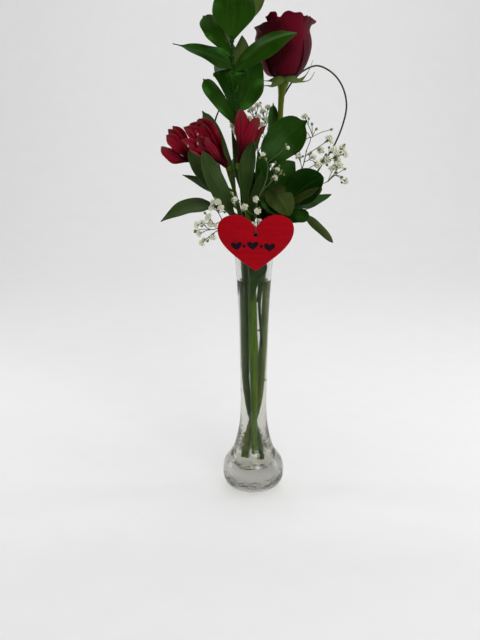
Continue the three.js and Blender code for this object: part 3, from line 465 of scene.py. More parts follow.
def blade(root, tip, bow, facing, width, outline, rng, *, rows, columns, thickness, wave, fold,
          cup=0.35, ridge=0.0, side=None):
    """One leaf or tepal on a bent midrib. It closes to a narrow point at both ends."""
    root, tip, bow = Vector(root), Vector(tip), Vector(bow)
    facing = Vector(facing).normalized()
    middle = (root + tip) / 2 + bow
    shape = OUTLINES[outline]
    phase = rng.uniform(0, 6)
    waves = rng.uniform(1.5, 2.5)

    def place(t, u):
        rib = root * (1 - t) ** 2 + middle * 2 * t * (1 - t) + tip * t * t
        along = ((middle - root) * (1 - t) + (tip - middle) * t).normalized()
        across = along.cross(facing).normalized()
        if side:
            across = (Vector(side) - along * along.dot(Vector(side))).normalized()
        up = across.cross(along).normalized()
        half = width / 2 * shape(t)
        rise = half / cup * (1 - math.cos(cup * u)) + fold * half * abs(u)
        rise += wave * half * u * abs(u) * math.sin(waves * math.tau * t + phase + (u > 0))
        rise += ridge * half * math.cos(9.4 * u) * min(1, 3 * t)
        return rib + across * (half / cup * math.sin(cup * u)) + up * rise

    return sheet(rows, columns, thickness, place)


class Piece:
    """Collects parts in millimetres and makes them one object that replaces CAD nodes."""

    def __init__(self, name, seed):
        self.name = name
        self.rng = random.Random(seed)
        self.bm = bmesh.new()
        self.bm.loops.layers.uv.new("UVMap")
        self.tone = self.bm.verts.layers.float.new("tone")

    def add(self, part, material=0, keep=False, matrix=None, tone=None):
        """Takes a part in. keep adds the material to the part's own ones, for a sheet."""
        mesh = bpy.data.meshes.new("part")
        if matrix is not None:
            bmesh.ops.transform(part, matrix=matrix, verts=part.verts)
        for face in part.faces:
            face.material_index = material + (face.material_index if keep else 0)
        part.to_mesh(mesh)
        part.free()
        before = len(self.bm.verts)
        self.bm.from_mesh(mesh)
        bpy.data.meshes.remove(mesh)
        self.bm.verts.ensure_lookup_table()
        shade = self.rng.random() if tone is None else tone
        for vert in self.bm.verts[before:]:
            vert[self.tone] = shade

    def finish(self, materials, slot, *nodes, flat=1.0):
        """Makes the object, smooth but for the edges that bend by more than flat, in radians."""
        bmesh.ops.scale(self.bm, vec=(MM, MM, MM), verts=self.bm.verts)
        for face in self.bm.faces:
            face.smooth = True
        for edge in self.bm.edges:
            if len(edge.link_faces) == 2 and edge.calc_face_angle(0) > flat:
                edge.smooth = False
        mesh = bpy.data.meshes.new(self.name)
        self.bm.to_mesh(mesh)
        self.bm.free()
        for made in materials:
            mesh.materials.append(made)
        piece = linked(self.name, mesh)
        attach(piece, "root")
        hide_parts(*nodes)


# ---- Materials ----


class Shade:
    """A node material with one Principled shader, and short ways to add what feeds it."""

    def __init__(self, name, **values):
        self.material = bpy.data.materials.new(name)
        self.material.use_nodes = True
        self.tree = self.material.node_tree
        self.shader = self.tree.nodes["Principled BSDF"]
        for key, value in values.items():
            self.shader.inputs[key.replace("_", " ")].default_value = value

    def node(self, kind, inputs=(), **settings):
        """A new node. An input that is given a socket is linked to it."""
        made = self.tree.nodes.new("ShaderNode" + kind)
        for key, value in settings.items():
            setattr(made, key, value)
        for key, value in dict(inputs).items():
            if isinstance(value, bpy.types.NodeSocket):
                self.tree.links.new(value, made.inputs[key])
            else:
                made.inputs[key].default_value = value
        return made

    def feed(self, key, socket):
        self.tree.links.new(socket, self.shader.inputs[key])

    def coordinates(self, output="Object", scale=(1, 1, 1)):
        where = self.node("TexCoord").outputs[output]
        return self.node("Mapping", {"Vector": where, "Scale": scale}).outputs["Vector"]

    def axes(self, output):
        where = self.node("TexCoord").outputs[output]
        return self.node("SeparateXYZ", {"Vector": where}).outputs

    def noise(self, vector, scale, detail=3, roughness=0.5, distortion=0):
        return self.node("TexNoise", {"Vector": vector, "Scale": scale, "Detail": detail,
                                      "Roughness": roughness, "Distortion": distortion}).outputs[0]

    def ramp(self, fac, *stops):
        made = self.node("ValToRGB", {"Fac": fac})
        for element, (place, colour) in zip(made.color_ramp.elements, stops):
            element.position = place
            element.color = (*colour[:3], 1)
        return made.outputs["Color"]

    def mix(self, fac, a, b):
        a, b = (colour if isinstance(colour, bpy.types.NodeSocket) else (*colour[:3], 1)
                for colour in (a, b))
        return self.node("Mix", {0: fac, 6: a, 7: b}, data_type="RGBA").outputs[2]

    def math(self, operation, a, b=0.0):
        return self.node("Math", {0: a, 1: b}, operation=operation).outputs[0]

    def total(self, *terms):
        """The sum of (socket, weight) terms."""
        weighed = [self.math("MULTIPLY", *term) for term in terms]
        made = weighed[0]
        for term in weighed[1:]:
            made = self.math("ADD", made, term)
        return made

    def spread(self, value, low, high, at_low, at_high):
        """Maps the range from low to high to another, and holds it there outside."""
        return self.node("MapRange", {"Value": value, "From Min": low, "From Max": high,
                                      "To Min": at_low, "To Max": at_high}).outputs[0]

    def from_middle(self, socket):
        """How far a coordinate of 0 to 1 lies from 0.5."""
        return self.math("ABSOLUTE", self.math("SUBTRACT", socket, 0.5))

    def bump(self, height, distance):
        made = self.node("Bump", {"Height": height, "Distance": distance})
        self.feed("Normal", made.outputs["Normal"])

    def tone(self):
        return self.node("Attribute", attribute_name="tone").outputs["Fac"]


def speckled(name, scale, dark, light, *, relief=0.0, detail=3, light_at=0.7, relief_scale=None,
             **values):
    """A plain material that wanders between two colours with a fine noise, in low relief."""
    shade = Shade(name, **values)
    fac = shade.noise(shade.coordinates(), scale, detail=detail)
    shade.feed("Base Color", shade.ramp(fac, (0.3, dark), (light_at, light)))
    if relief_scale:
        fac = shade.noise(shade.coordinates(), relief_scale)
    if relief:
        shade.bump(fac, relief)
    return shade.material


def clear_material(name, tint, ior, gleam, *, ripple, depth=0.0):
    """Glass or water. Direct light passes through it to what stands inside.

    Its ripples and gleam are strong at the bulb, below 35 mm, and weak from 75 mm up.
    """
    shade = Shade(name, Base_Color=(*tint, 1), Roughness=0.0, IOR=ior, Transmission_Weight=1.0)
    low = shade.spread(shade.axes("Object")["Z"], 0.035, 0.075, 1.0, 0.2)
    swirl = shade.noise(shade.coordinates(scale=(1, 1, 1.2)), 95, distortion=1.2)
    shade.feed("Specular Tint", shade.math("MULTIPLY", shade.math("ADD", low, 0.03), gleam))
    shade.bump(shade.math("MULTIPLY", swirl, low), ripple)
    links, output = shade.tree.links, shade.tree.nodes["Material Output"]
    if depth:
        # Absorption darkens light through thick glass, most in the bulb: a little as the glass's
        # own tint, the rest as painted shade for the darker room that the bulb would show.
        tint_and_painted_shade = shade.node("VolumeAbsorption", {"Color": (0.12, 0.1, 0, 1), "Density": depth})
        links.new(tint_and_painted_shade.outputs[0], output.inputs["Volume"])
    in_shadow = shade.math("MULTIPLY", shade.node("LightPath").outputs["Is Shadow Ray"], 0.85)
    mixed = shade.node("MixShader", {0: in_shadow, 1: shade.shader.outputs[0],
                                     2: shade.node("BsdfTransparent").outputs[0]})
    links.new(mixed.outputs[0], output.inputs["Surface"])
    return shade.material


def glow(colour, floor):
    """A colour's own hue at full brightness, for reflections that keep the hue."""
    top = max(colour)
    return tuple(max(floor, c / top) for c in colour) + (1,)


def leaf_material(name, dark, light, roughness, vein_depth, veins, contrast=0.4):
    """A leaf with long veins that follow it, a tone of its own for each leaf, and pale patches of
    painted sheen.
    """
    shade = Shade(name, Roughness=roughness, Specular_IOR_Level=0.3,
                  Specular_Tint=glow(light, 0.16))
    strands = shade.noise(shade.coordinates("UV", (veins, 1.4, 1)), 1.0, detail=2, roughness=0.6)
    patches = shade.noise(shade.coordinates(), 55)
    # A leaf's tone shifts its colour: at random, or as painted light and shade where the tables set
    # it.
    shifted = shade.total((strands, 0.55), (patches, 0.45), (shade.tone(), 0.28))
    colour = shade.ramp(shifted, (0.62 - contrast / 2, dark), (0.62 + contrast / 2, light))
    rib = shade.math("LESS_THAN", shade.from_middle(shade.axes("UV")["X"]), 0.018)
    colour = shade.mix(shade.math("MULTIPLY", rib, 0.45), colour, light)
    # Painted sheen: pale grey-green patches where the glossy leaf would catch the light.
    glint = shade.math("ADD", shade.noise(shade.coordinates(), 29, detail=1),
                       shade.math("MULTIPLY", strands, 0.12))
    pale = [c * 1.4 + 0.035 * share for c, share in zip(light, (1, 0.9, 1))]
    shade.feed("Base Color", shade.mix(shade.spread(glint, 0.58, 0.82, 0.0, 0.6), colour, pale))
    shade.feed("Roughness", shade.math("ADD", shade.math("MULTIPLY", patches, 0.22),
                                       roughness - 0.11))
    shade.bump(strands, vein_depth)
    return shade.material


def stem_material(name, dark, light, bark=None, bark_height=0.0):
    """A stem: long fibres, and ragged brown bark on the rose about a height in metres."""
    shade = Shade(name, Roughness=0.45, Specular_IOR_Level=0.25, Specular_Tint=glow(light, 0.3))
    fibres = shade.noise(shade.coordinates(scale=(420, 420, 30)), 1.0)
    blotches = shade.noise(shade.coordinates(scale=(1, 1, 0.5)), 140, detail=4, roughness=0.65)
    colour = shade.ramp(fibres, (0.3, dark), (0.7, light))
    if bark:
        height = shade.axes("Object")["Z"]
        away = shade.math("ABSOLUTE", shade.math("SUBTRACT", height, bark_height))
        patchy = shade.math("GREATER_THAN", shade.spread(away, 0.003, 0.06, 0.5, 0.22), blotches)
        colour = shade.mix(shade.math("MULTIPLY", patchy, 0.75), colour, bark)
    shade.feed("Base Color", colour)
    shade.bump(shade.math("ADD", fibres, blotches), 0.00025)
    return shade.material


# ---- Settings ----


def colour_property(name, description, default):
    return FloatVectorProperty(name=name, description=description, default=default,
                               subtype="COLOR", min=0, max=1, size=3)


def length_property(name, description, default):
    return FloatProperty(name=name, description=description, default=default * MM, min=0,
                         subtype="DISTANCE", unit="LENGTH")


def power_property(name, description, default):
    return FloatProperty(name=name, description=description, default=default, min=0,
                         subtype="POWER", unit="POWER")


class VaseSettings(bpy.types.PropertyGroup):
    """Glass and water."""

    glass_tint: colour_property("Glass tint", "Colour that the glass gives to light",
                                (0.88, 0.88, 0.86))
    glass_ior: FloatProperty(name="Glass bending", description="How strongly the glass bends light",
                             default=1.5, min=1, max=2)
    # The glass depth darkens the bulb: a little as the glass's own tint, the rest as painted shade.
    glass_depth: FloatProperty(name="Glass depth", description="How fast thick glass darkens light",
                               default=14, min=0)
    water_tint: colour_property("Water tint", "Colour that the water gives to light",
                                (0.965, 0.97, 0.925))
    water_ior: FloatProperty(name="Water bending", description="How strongly water bends light",
                             default=1.33, min=1, max=2)
    gleam: FloatProperty(name="Gleam", description="Strength of reflections on glass and water",
                         default=1.0, min=0, max=1)
    sides: IntProperty(name="Sides", description="Faces round the vase", default=96, min=12)


class RoseSettings(bpy.types.PropertyGroup):
    """The rose's bloom and stem."""

    petal: colour_property("Petal", "Crimson of the petals in the light", (0.105, 0.0022, 0.0115))
    # The dark end of the petals' colour: their darker veins, and painted shade at the roots, in the
    # folds and on the shaded petal.
    petal_dark_and_shade: colour_property("Petal, dark", "Crimson in the folds", (0.014, 0.0004, 0.002))
    # Painted sheen: a greyish crimson laid along each petal's edges, where the velvet catches the
    # light.
    margin: colour_property("Petal edge", "Dusty crimson along a petal's edges", (0.1, 0.03, 0.05))
    sheen: colour_property("Petal sheen", "Colour of the velvet's sheen", (0.8, 0.42, 0.5))
    sepal: colour_property("Sepal", "Pale grey-green of the sepals", (0.14, 0.2, 0.05))
    green: colour_property("Stem", "Yellow-green of the stem and sepals", (0.1, 0.14, 0.008))
    green_dark: colour_property("Stem, dark", "Darker streaks of the stem", (0.035, 0.065, 0.003))
    bark: colour_property("Bark", "Brown bark near the cut end", (0.07, 0.025, 0.012))
    petal_thickness: length_property("Petal thickness", "Thickness of a rose petal", 0.45)


class FoliageSettings(bpy.types.PropertyGroup):
    """Ruscus, alstroemeria leaves and bear grass."""

    ruscus: colour_property("Ruscus", "Dark green of a ruscus leaf", (0.0018, 0.0115, 0.0003))
    ruscus_light: colour_property("Ruscus, light", "Lighter green of its veins and edges",
                                  (0.018, 0.06, 0.003))
    ruscus_back: colour_property("Ruscus underside", "Olive underside of a ruscus leaf",
                                 (0.04, 0.06, 0.012))
    alstroemeria: colour_property("Alstroemeria leaf", "Grey-green of an alstroemeria leaf",
                                  (0.009, 0.025, 0.004))
    alstroemeria_light: colour_property("Alstroemeria leaf, light", "Its lighter veins",
                                        (0.04, 0.068, 0.018))
    stem_light: colour_property("Bright stem", "Yellow-green of the middle alstroemeria stem",
                                (0.1, 0.19, 0.008))
    stem_dark: colour_property("Bright stem, dark", "Its darker fibres", (0.04, 0.09, 0.003))
    grass: colour_property("Bear grass", "Dark grey-green of the blades", (0.012, 0.022, 0.008))
    grass_light: colour_property("Bear grass, light", "Lighter side of the blades",
                                 (0.045, 0.06, 0.025))
    leaf_thickness: length_property("Leaf thickness", "Thickness of a leaf", 0.45)
    grass_width: length_property("Grass width", "Width of a blade of bear grass", 1.5)


class BlossomSettings(bpy.types.PropertyGroup):
    """Alstroemeria blooms and baby's breath."""

    tepal: colour_property("Tepal", "Bright red of a tepal", (0.2, 0.0045, 0.017))
    # The dark red serves the filaments' own colour and the tepals' middle band, and paints shade in
    # the throats.
    tepal_dark_and_shade: colour_property("Tepal, dark", "Dark red in the throat", (0.028, 0.0004, 0.002))
    tepal_streak: colour_property("Tepal streak", "Green-grey streaks and tips",
                                  (0.075, 0.05, 0.03))
    anther: colour_property("Anther", "Cream of the anthers", (0.55, 0.5, 0.36))
    floret: colour_property("Floret", "Cream of a baby's breath floret", (0.86, 0.86, 0.7))
    floret_centre: colour_property("Floret centre", "Olive of its middle", (0.2, 0.24, 0.06))
    twig: colour_property("Twig", "Grey-green of the twigs", (0.1, 0.14, 0.06))
    floret_radius: length_property("Floret radius", "Half the width of a floret", 2.9)


class TagSettings(bpy.types.PropertyGroup):
    """The painted heart and its cord."""

    paint: colour_property("Paint", "Red of the wooden heart", (0.62, 0.004, 0.014))
    # Darker red along the heart's sharp edges.
    paint_dark: colour_property("Paint, edge", "Darker red where the paint is thick",
                                (0.22, 0.002, 0.006))
    marks: colour_property("Marks", "Black of the small painted marks", (0.006, 0.003, 0.006))
    cord: colour_property("Cord", "Dark brown of the thread", (0.05, 0.02, 0.016))
    cord_radius: length_property("Cord radius", "Half the thickness of the thread", 0.42)


class StageSettings(bpy.types.PropertyGroup):
    """Floor, lights and camera."""

    floor: colour_property("Floor", "Pale colour of the floor and backdrop", (0.86, 0.86, 0.86))
    key: power_property("Overhead light", "Power of the large softbox above", 9)
    front: power_property("Front light", "Power of the softbox near the camera", 8)
    side: power_property("Side lights", "Power of each tall softbox at the sides", 2)
    back: power_property("Backdrop light", "Power of the light on the backdrop", 14)
    sky: FloatProperty(name="Room light", description="Strength of the even room light",
                       default=0.12, min=0)
    lens: FloatProperty(name="Lens", description="Focal length of the camera", default=59.06,
                        min=10, subtype="DISTANCE_CAMERA", unit="CAMERA")


# ---- Vase and water ----


def turned(profile, sides):
    """A closed body turned round the Z axis from a profile that starts and ends on it."""
    bm = bmesh.new()
    verts, edges = chain(bm, [(r, 0, z) for r, z in profile])
    bmesh.ops.spin(bm, geom=verts + edges, cent=(0, 0, 0), axis=(0, 0, 1), dvec=(0, 0, 0),
                   angle=math.tau, steps=sides, use_merge=True)
    bmesh.ops.remove_doubles(bm, verts=bm.verts, dist=0.004)
    bmesh.ops.recalc_face_normals(bm, faces=bm.faces)
    return bm


class BOUQUET_OT_vase(bpy.types.Operator):
    """Turn the glass vase with its round foot, hollow neck and rolled lip"""

    bl_idname = "bouquet.vase"
    bl_label = "Glass vase"

    def execute(self, context):
        look = context.scene.bouquet_vase
        glass = clear_material("clear_glass", look.glass_tint, look.glass_ior, look.gleam,
                               ripple=0.0007, depth=look.glass_depth)
        vase = Piece("glass_vase", 11)
        vase.add(turned(VASE_PROFILE, look.sides), tone=0.5)
        vase.finish([glass], "glass", "vase", flat=2)
        return {"FINISHED"}


class BOUQUET_OT_water(bpy.types.Operator):
    """Fill the vase with water, with its curved rim against the glass"""

    bl_idname = "bouquet.water"
    bl_label = "Water"

    def execute(self, context):
        look = context.scene.bouquet_vase
        clear = clear_material("clear_water", look.water_tint, look.water_ior, look.gleam,
                               ripple=0.00002)
        water = Piece("vase_water", 12)
        water.add(turned(WATER_PROFILE, look.sides), tone=0.5)
        water.finish([clear], "water", "water", flat=2)
        return {"FINISHED"}


# ---- Heart tag and its cord ----

HEART_CLEFT = (1, -27.6, 233)
HEART_THICKNESS = 3
HEART_HALF = 30.9
# The small painted marks: how far under the cleft, and for each its place from the middle, and 1
# for a heart or 0 for a dot.
MARKS_DROP = 15.5
MARKS = [(-15.6, 1), (-9.4, 0), (-2.4, 1), (4.4, 0), (11.2, 1)]
HOLE_RADIUS = 1.85
HOLE_DROP = 5.3
# The first row of the vase's profile that is on the outside of the neck.
NECK_ROW = 20
# The cord: height of its ring round the neck, the length in which its strands turn once, and as
# shares of its radius each strand's radius, its distance from the middle and the knot's radius.
RING_HEIGHT = 221
CORD_LAY = 2.6
STRAND_RADIUS = 0.56
STRAND_OFFSET = 0.48
KNOT_RADIUS = 1.05


def heart_outline(steps=14):
    """Points of the heart's right side, from the cleft to its lowest point."""
    half = HEART_HALF
    runs = [((0, 0), (4, 6.5), (10, 10.7), (16.5, 10.7)),
            ((16.5, 10.7), (25, 10.7), (half, 6), (half, -1)),
            ((half, -1), (half, -13.5), (17, -23.5), (0, -35.2))]
    points = []
    for run in runs:
        for t in (step / steps for step in range(steps)):
            weights = ((1 - t) ** 3, 3 * t * (1 - t) ** 2, 3 * t * t * (1 - t), t**3)
            points.append([sum(w * p[k] for w, p in zip(weights, run)) for k in (0, 1)])
    return points + [runs[-1][-1]]


def heart_plate(scale, thickness, hole=0.0, edge=0.0):
    """A flat heart that stands upright with its front at y 0 and its cleft at the origin."""
    right = heart_outline()
    loop = right + [(-x, z) for x, z in reversed(right[1:-1])]
    bm = solid(bmesh.ops.create_circle, cap_ends=False, segments=len(loop), radius=1)
    for vert, (x, z) in zip(bm.verts, loop):
        vert.co = (x * scale, 0, z * scale)
    if hole:
        ring = bmesh.ops.create_circle(bm, cap_ends=False, segments=28, radius=hole)["verts"]
        turn = Matrix.Translation((0, 0, -HOLE_DROP)) @ Matrix.Rotation(math.pi / 2, 4, "X")
        bmesh.ops.transform(bm, matrix=turn, verts=ring)
    bmesh.ops.triangle_fill(bm, use_beauty=True, edges=bm.edges[:])
    made = bmesh.ops.extrude_face_region(bm, geom=bm.faces[:])
    bmesh.ops.translate(bm, verts=only(made, bmesh.types.BMVert), vec=(0, thickness, 0))
    bmesh.ops.recalc_face_normals(bm, faces=bm.faces)
    if edge:
        sharp = [e for e in bm.edges if e.calc_face_angle(0) > 1.2
                 and abs(e.verts[0].co.y - e.verts[1].co.y) < 0.01]
        bmesh.ops.bevel(bm, geom=sharp, offset=edge, offset_type="OFFSET", affect="EDGES",
                        segments=3, profile=0.5, material=-1)
    return bm


class BOUQUET_OT_heart(bpy.types.Operator):
    """Cut the painted wooden heart and put its small hand-painted marks on"""

    bl_idname = "bouquet.heart"
    bl_label = "Heart tag"

    def execute(self, context):
        look = context.scene.bouquet_tag
        x, y, z = HEART_CLEFT
        tag = Piece("painted_heart", 21)
        tag.add(heart_plate(1, HEART_THICKNESS, HOLE_RADIUS, 0.55),
                matrix=Matrix.Translation(HEART_CLEFT), tone=0.5)
        for aside, kind in MARKS:
            low = z - MARKS_DROP - 0.05 * aside + 0.5 * math.cos(aside * 0.21)
            if kind:
                mark = heart_plate(0.145, 0.3)
                spot, turn = (x + aside, y - 0.12, low + 2.4), (0.06 * aside / 13, 4, "Y")
            else:
                mark = solid(bmesh.ops.create_cone, cap_ends=True, segments=20, radius1=1.35,
                             radius2=1.3, depth=0.3)
                spot, turn = (x + aside, y + 0.03, low + 0.6), (math.pi / 2, 4, "X")
            tag.add(mark, 1, matrix=Matrix.Translation(spot) @ Matrix.Rotation(*turn))
        marks = speckled("heart_marks", 500, look.marks, times(look.marks, 3), light_at=0.8,
                         relief=0.0001, relief_scale=900, Roughness=0.5, Specular_IOR_Level=0.06)
        tag.finish([self.paint(look), marks], "painted_wood", "heart_tag", flat=0.6)
        return {"FINISHED"}

    @staticmethod
    def paint(look):
        """Mottled paint with fine strokes across, darker along its sharp edges."""
        shade = Shade("heart_paint", Roughness=0.45, Specular_IOR_Level=0.2,
                      Specular_Tint=glow(look.paint, 0.15))
        strokes = shade.noise(shade.coordinates(scale=(60, 60, 420)), 1.0)
        mottling = shade.noise(shade.coordinates(), 220, detail=4)
        colour = shade.ramp(mottling, (0.3, times(look.paint, 0.78)), (0.72, look.paint))
        # Darker along the sharp edges.
        edge = shade.node("NewGeometry").outputs["Pointiness"]
        thick = shade.ramp(edge, (0.44, (0, 0, 0)), (0.56, (1, 1, 1)))
        colour = shade.mix(thick, colour, look.paint_dark)
        lines = shade.ramp(strokes, (0.35, times(look.paint, 0.7)), (0.65, look.paint))
        shade.feed("Base Color", shade.mix(0.35, colour, lines))
        shade.bump(shade.math("ADD", strokes, mottling), 0.00012)
        return shade.material


class BOUQUET_OT_cord(bpy.types.Operator):
    """Twist the thread that goes round the neck and through the heart"""

    bl_idname = "bouquet.cord"
    bl_label = "Tag cord"

    def execute(self, context):
        look = context.scene.bouquet_tag
        radius = look.cord_radius / MM
        neck = between([(height, r) for r, height in VASE_PROFILE[NECK_ROW:]], RING_HEIGHT)
        out = neck + radius + 0.3
        x, y, z = HEART_CLEFT
        hole = z - HOLE_DROP
        middle = y + HEART_THICKNESS / 2
        around = [math.tau * i / 24 for i in range(25)]
        ring = [(out * math.cos(a - math.pi / 2), out * math.sin(a - math.pi / 2),
                 RING_HEIGHT + 0.5 * math.sin(3 * (a - math.pi / 2))) for a in around]
        loop = [(x, middle, hole), (x, y - 1, z - 3.2), (x, y - 0.4, z - 0.9),
                (x, middle - 0.3, z + 1.2), (x, -22, z), (x, -out - 0.7, 226),
                (x, -out - 0.2, 221.5), (x, -out - 0.9, 220), (x + 0.6, -out - 2.2, 221.8),
                (x + 0.4, -23.2, 226.6), (x + 0.2, y + HEART_THICKNESS + 0.7, hole + 0.6),
                (x, middle, hole)]
        knot = [(x + (math.sin(a) + 2 * math.sin(2 * a)) * 0.5, middle + 0.5 * math.sin(3 * a),
                 hole + (math.cos(a) - 2 * math.cos(2 * a)) * 0.5) for a in around]
        cord = Piece("twisted_cord", 22)
        for line in (ring, loop):
            path = smooth_path(line, 14)
            lengths = [0.0]
            for a, b in zip(path, path[1:]):
                lengths.append(lengths[-1] + (b - a).length)
            for start in (0, math.pi):
                angles = [length * math.tau / CORD_LAY + start for length in lengths]
                strand = [p + q @ Vector((math.cos(a), math.sin(a), 0)) * radius
                          * STRAND_OFFSET for p, q, a in zip(path, frames(path), angles)]
                cord.add(sweep(strand, radius * STRAND_RADIUS, 6))
        cord.add(sweep(smooth_path(knot, 3), radius * KNOT_RADIUS, 7))
        cord.add(solid(bmesh.ops.create_icosphere, subdivisions=3, radius=HOLE_RADIUS - 0.15), 1,
                 matrix=Matrix.Translation((x, middle + 0.4, hole)))
        thread = speckled("cord_thread", 2600, times(look.cord, 0.5), times(look.cord, 2.2),
                          detail=2, relief=0.0001, Roughness=0.85, Sheen_Weight=0.3)
        shadow = speckled("knot_shadow", 1500, look.marks, times(look.marks, 1.6), Roughness=1.0,
                          Specular_IOR_Level=0.0)
        cord.finish([thread, shadow], "cord", "tag_cord", flat=0.9)
        return {"FINISHED"}


# ---- Rose ----

ROSE_SEAT = (23.6, 8, 351.8)
ROSE_TILT = 0.02
# The outside of the cup: radius and height above the seat, from under the petals to their tops.
ROSE_CUP = [(4, 1.6), (8, -0.2), (11.6, 0.3), (14.4, 3.6), (17.2, 9.5), (20.2, 17), (22.2, 25),
            (22.3, 33), (21.2, 41), (20, 52)]

# The petals that show, from the outside in. Angles are degrees round the cup: -90 faces the
# viewer and 0 is at the right. Each has its left and right edge as (share of its length, angle),
# its outside at both edges as (radius, height) from the seat up, its tone and its waviness. The
# tone paints light and shade: low on the petal that lies in shade, higher on the lit ones.
SHOWN_PETALS = [
    # the broad shaded petal at the front left, painted dark as shade by its low tone
    ([(0, -150), (0.45, -153), (0.7, -172), (1, -202)],
     [(0, -128), (0.2, -120), (0.34, -106), (0.55, -78), (0.66, -69), (0.77, -75), (1, -87)],
     [(4, 1.6), (8, -0.2), (11.8, 0.6), (14.6, 4), (17.8, 10), (20.8, 17), (23.4, 24),
      (24, 29), (23.2, 32), (23, 34), (24, 36), (25.8, 36.8)],
     [(4, 1.6), (8, -0.2), (11.8, 0.6), (15, 4.5), (18, 10), (20.8, 17), (22.3, 25),
      (22.2, 30), (21.4, 34.5), (20.8, 38), (20.6, 41), (21.2, 43.5)], 0.02, 0.35),
    # the right one, whose lip flares out
    ([(0, -35), (0.3, -38), (0.7, -46), (1, -47)], [(0, 60), (1, 45)],
     [(4, 1.6), (8, -0.4), (12, 0.6), (15.4, 4.5), (18.6, 10), (20.8, 17), (21.8, 25),
      (21, 32), (20.2, 37), (20.4, 41), (21.4, 44.5), (22.8, 47.4)],
     [(4, 1.6), (8, -0.4), (12.4, 0.4), (15.6, 4), (18.8, 10), (21.2, 17), (22.4, 25),
      (21.4, 31), (19.6, 35), (20.8, 38), (23.2, 40), (25.4, 39.8)], 0.5, 0.35),
    # the low one behind the shaded petal's left edge
    ([(0, -285), (1, -265)], [(0, -135), (0.5, -140), (1, -160)],
     [(4, 1.6), (8, -0.6), (12.4, 0), (15.6, 3.6), (18.4, 9.5), (21, 16.5), (22.6, 23),
      (22.4, 29), (21, 34), (20.4, 38), (21.2, 41), (23, 42)],
     [(4, 1.6), (8, -0.6), (12.6, 0), (15.8, 3.6), (18.6, 9.5), (21.4, 16.5), (23.3, 23),
      (23.6, 27), (22.6, 31), (21.8, 33), (21.8, 35), (22.4, 36)], 0.7, 0.35),
    # the tall bright one at the front, painted light by its high tone
    ([(0, -135), (0.6, -130), (1, -105)], [(0, -30), (1, -40)],
     [(4, 2), (8, 0.4), (12, 2.4), (15.5, 9), (18.6, 17), (20.2, 25), (20.4, 33), (19.6, 40),
      (19, 45), (18.8, 47.5), (19, 49.2), (19.4, 50.2)],
     [(4, 2), (8, 0.4), (12, 2.4), (15.5, 9), (18.6, 17), (20.2, 25), (20.4, 33), (19.8, 39),
      (19.4, 43), (19.2, 46), (19.2, 47.8), (19.8, 49)], 0.75, 0.3),
    # the upper left one, with a lobe that leans out
    ([(0, -178), (1, -146)], [(0, -95), (1, -112)],
     [(4, 2), (8, 0.6), (11, 3), (14, 8), (17, 16), (18.8, 25), (18.6, 33), (17.4, 38),
      (17.2, 41), (18.4, 43.2), (20.2, 44.6), (22, 45)],
     [(4, 2), (8, 0.6), (11, 3), (14, 8), (17, 16), (18.8, 25), (19.2, 33), (18.6, 39),
      (18.2, 43), (18.2, 46.5), (18.6, 49), (19.4, 50.8)], 0.4, 0.35),
]
# The rest wrap round behind: middle angle, half spread, reach, height, flare of the lip.
WRAPPED_PETALS = [
    (85, 50, 0.97, 44, 2.6), (20, 50, 0.9, 47, 1.4), (165, 54, 0.93, 37.5, 1.8),
    (60, 52, 0.84, 46.5, 0.8), (140, 50, 0.82, 40, 0.8), (-20, 50, 0.82, 47.5, 0.6),
    (-75, 46, 0.8, 46.5, 0.4),
]


# The furled heart of the bloom: its petals, and the turn from one to the next in degrees.
INNER_PETALS = 16
GOLDEN_ANGLE = 137.5


def rose_petal(left, right, low, high, wave, rng, *, thickness, layer=1.2, rows=28, columns=20):
    """A cupped petal between two angles. Its outside goes from one profile to the other."""
    phase = rng.uniform(0, 6)
    columns_made = {}

    def column(u):
        """The petal's outside down one line: its points are (radius, 0, height)."""
        share = (u + 1) / 2
        share = share * share * (3 - 2 * share)
        path = smooth_path([(a[0] + (b[0] - a[0]) * share, 0, a[1] + (b[1] - a[1]) * share)
                            for a, b in zip(low, high)], 5)
        walked = [0.0]
        for a, b in zip(path, path[1:]):
            walked.append(walked[-1] + (b - a).length)
        # The lip is lower at its corners, and a little uneven.
        side = abs(u)
        cut = 1 - 0.012 * side**2 - 0.1 * side**7 + 0.008 * math.sin(7 * u + phase)
        made, index = [], 0
        for row in range(rows + 1):
            goal = walked[-1] * cut * row / rows
            while index < len(path) - 2 and walked[index + 1] < goal:
                index += 1
            span = max(walked[index + 1] - walked[index], 1e-6)
            made.append(path[index].lerp(path[index + 1], (goal - walked[index]) / span))
        return made

    def place(t, u):
        key = round(u, 4)
        if key not in columns_made:
            columns_made[key] = column(u)
        point = columns_made[key][round(t * rows)]
        a, b = math.radians(between(left, t)), math.radians(between(right, t))
        angle = a + (b - a) * (u + 1) / 2
        # Thinner at the root, one edge over the neighbour and one under, then wavy towards the lip.
        r = point.x - layer * max(0, 1 - t * 4) * 0.4
        r += layer * 0.5 * u * min(1, 3 * t)
        r += wave * t * t * (math.sin(5 * u + phase) + 0.5 * t**3 * math.sin(13 * u - phase))
        r += 0.3 * wave * t * math.sin(19 * u + 2 * phase)
        return r * math.cos(angle), r * math.sin(angle), point.z

    return sheet(rows, columns, thickness, place)


def wrapped_petal(middle, spread, reach, height, flare, rng, inward=0.0, **shape):
    """A petal that follows the cup at a share of its radius."""
    cup = [(h, r) for r, h in ROSE_CUP[2:]]
    profile = []
    for share in (k / 11 for k in range(12)):
        climb = 0.3 + (height - 0.3) * max(0, share - 0.1) / 0.9
        r, z = (between(cup, climb), climb) if share else ROSE_CUP[0]
        r = r * reach * (1 - inward * share) + flare * max(0, share - 0.82) / 0.18
        profile.append((r, z + (1 - reach) * 6 * (1 - share)))
    return rose_petal([(0, middle - spread), (1, middle - spread * 0.9)],
                      [(0, middle + spread), (1, middle + spread * 0.9)], profile, profile,
                      0.4, rng, **shape)


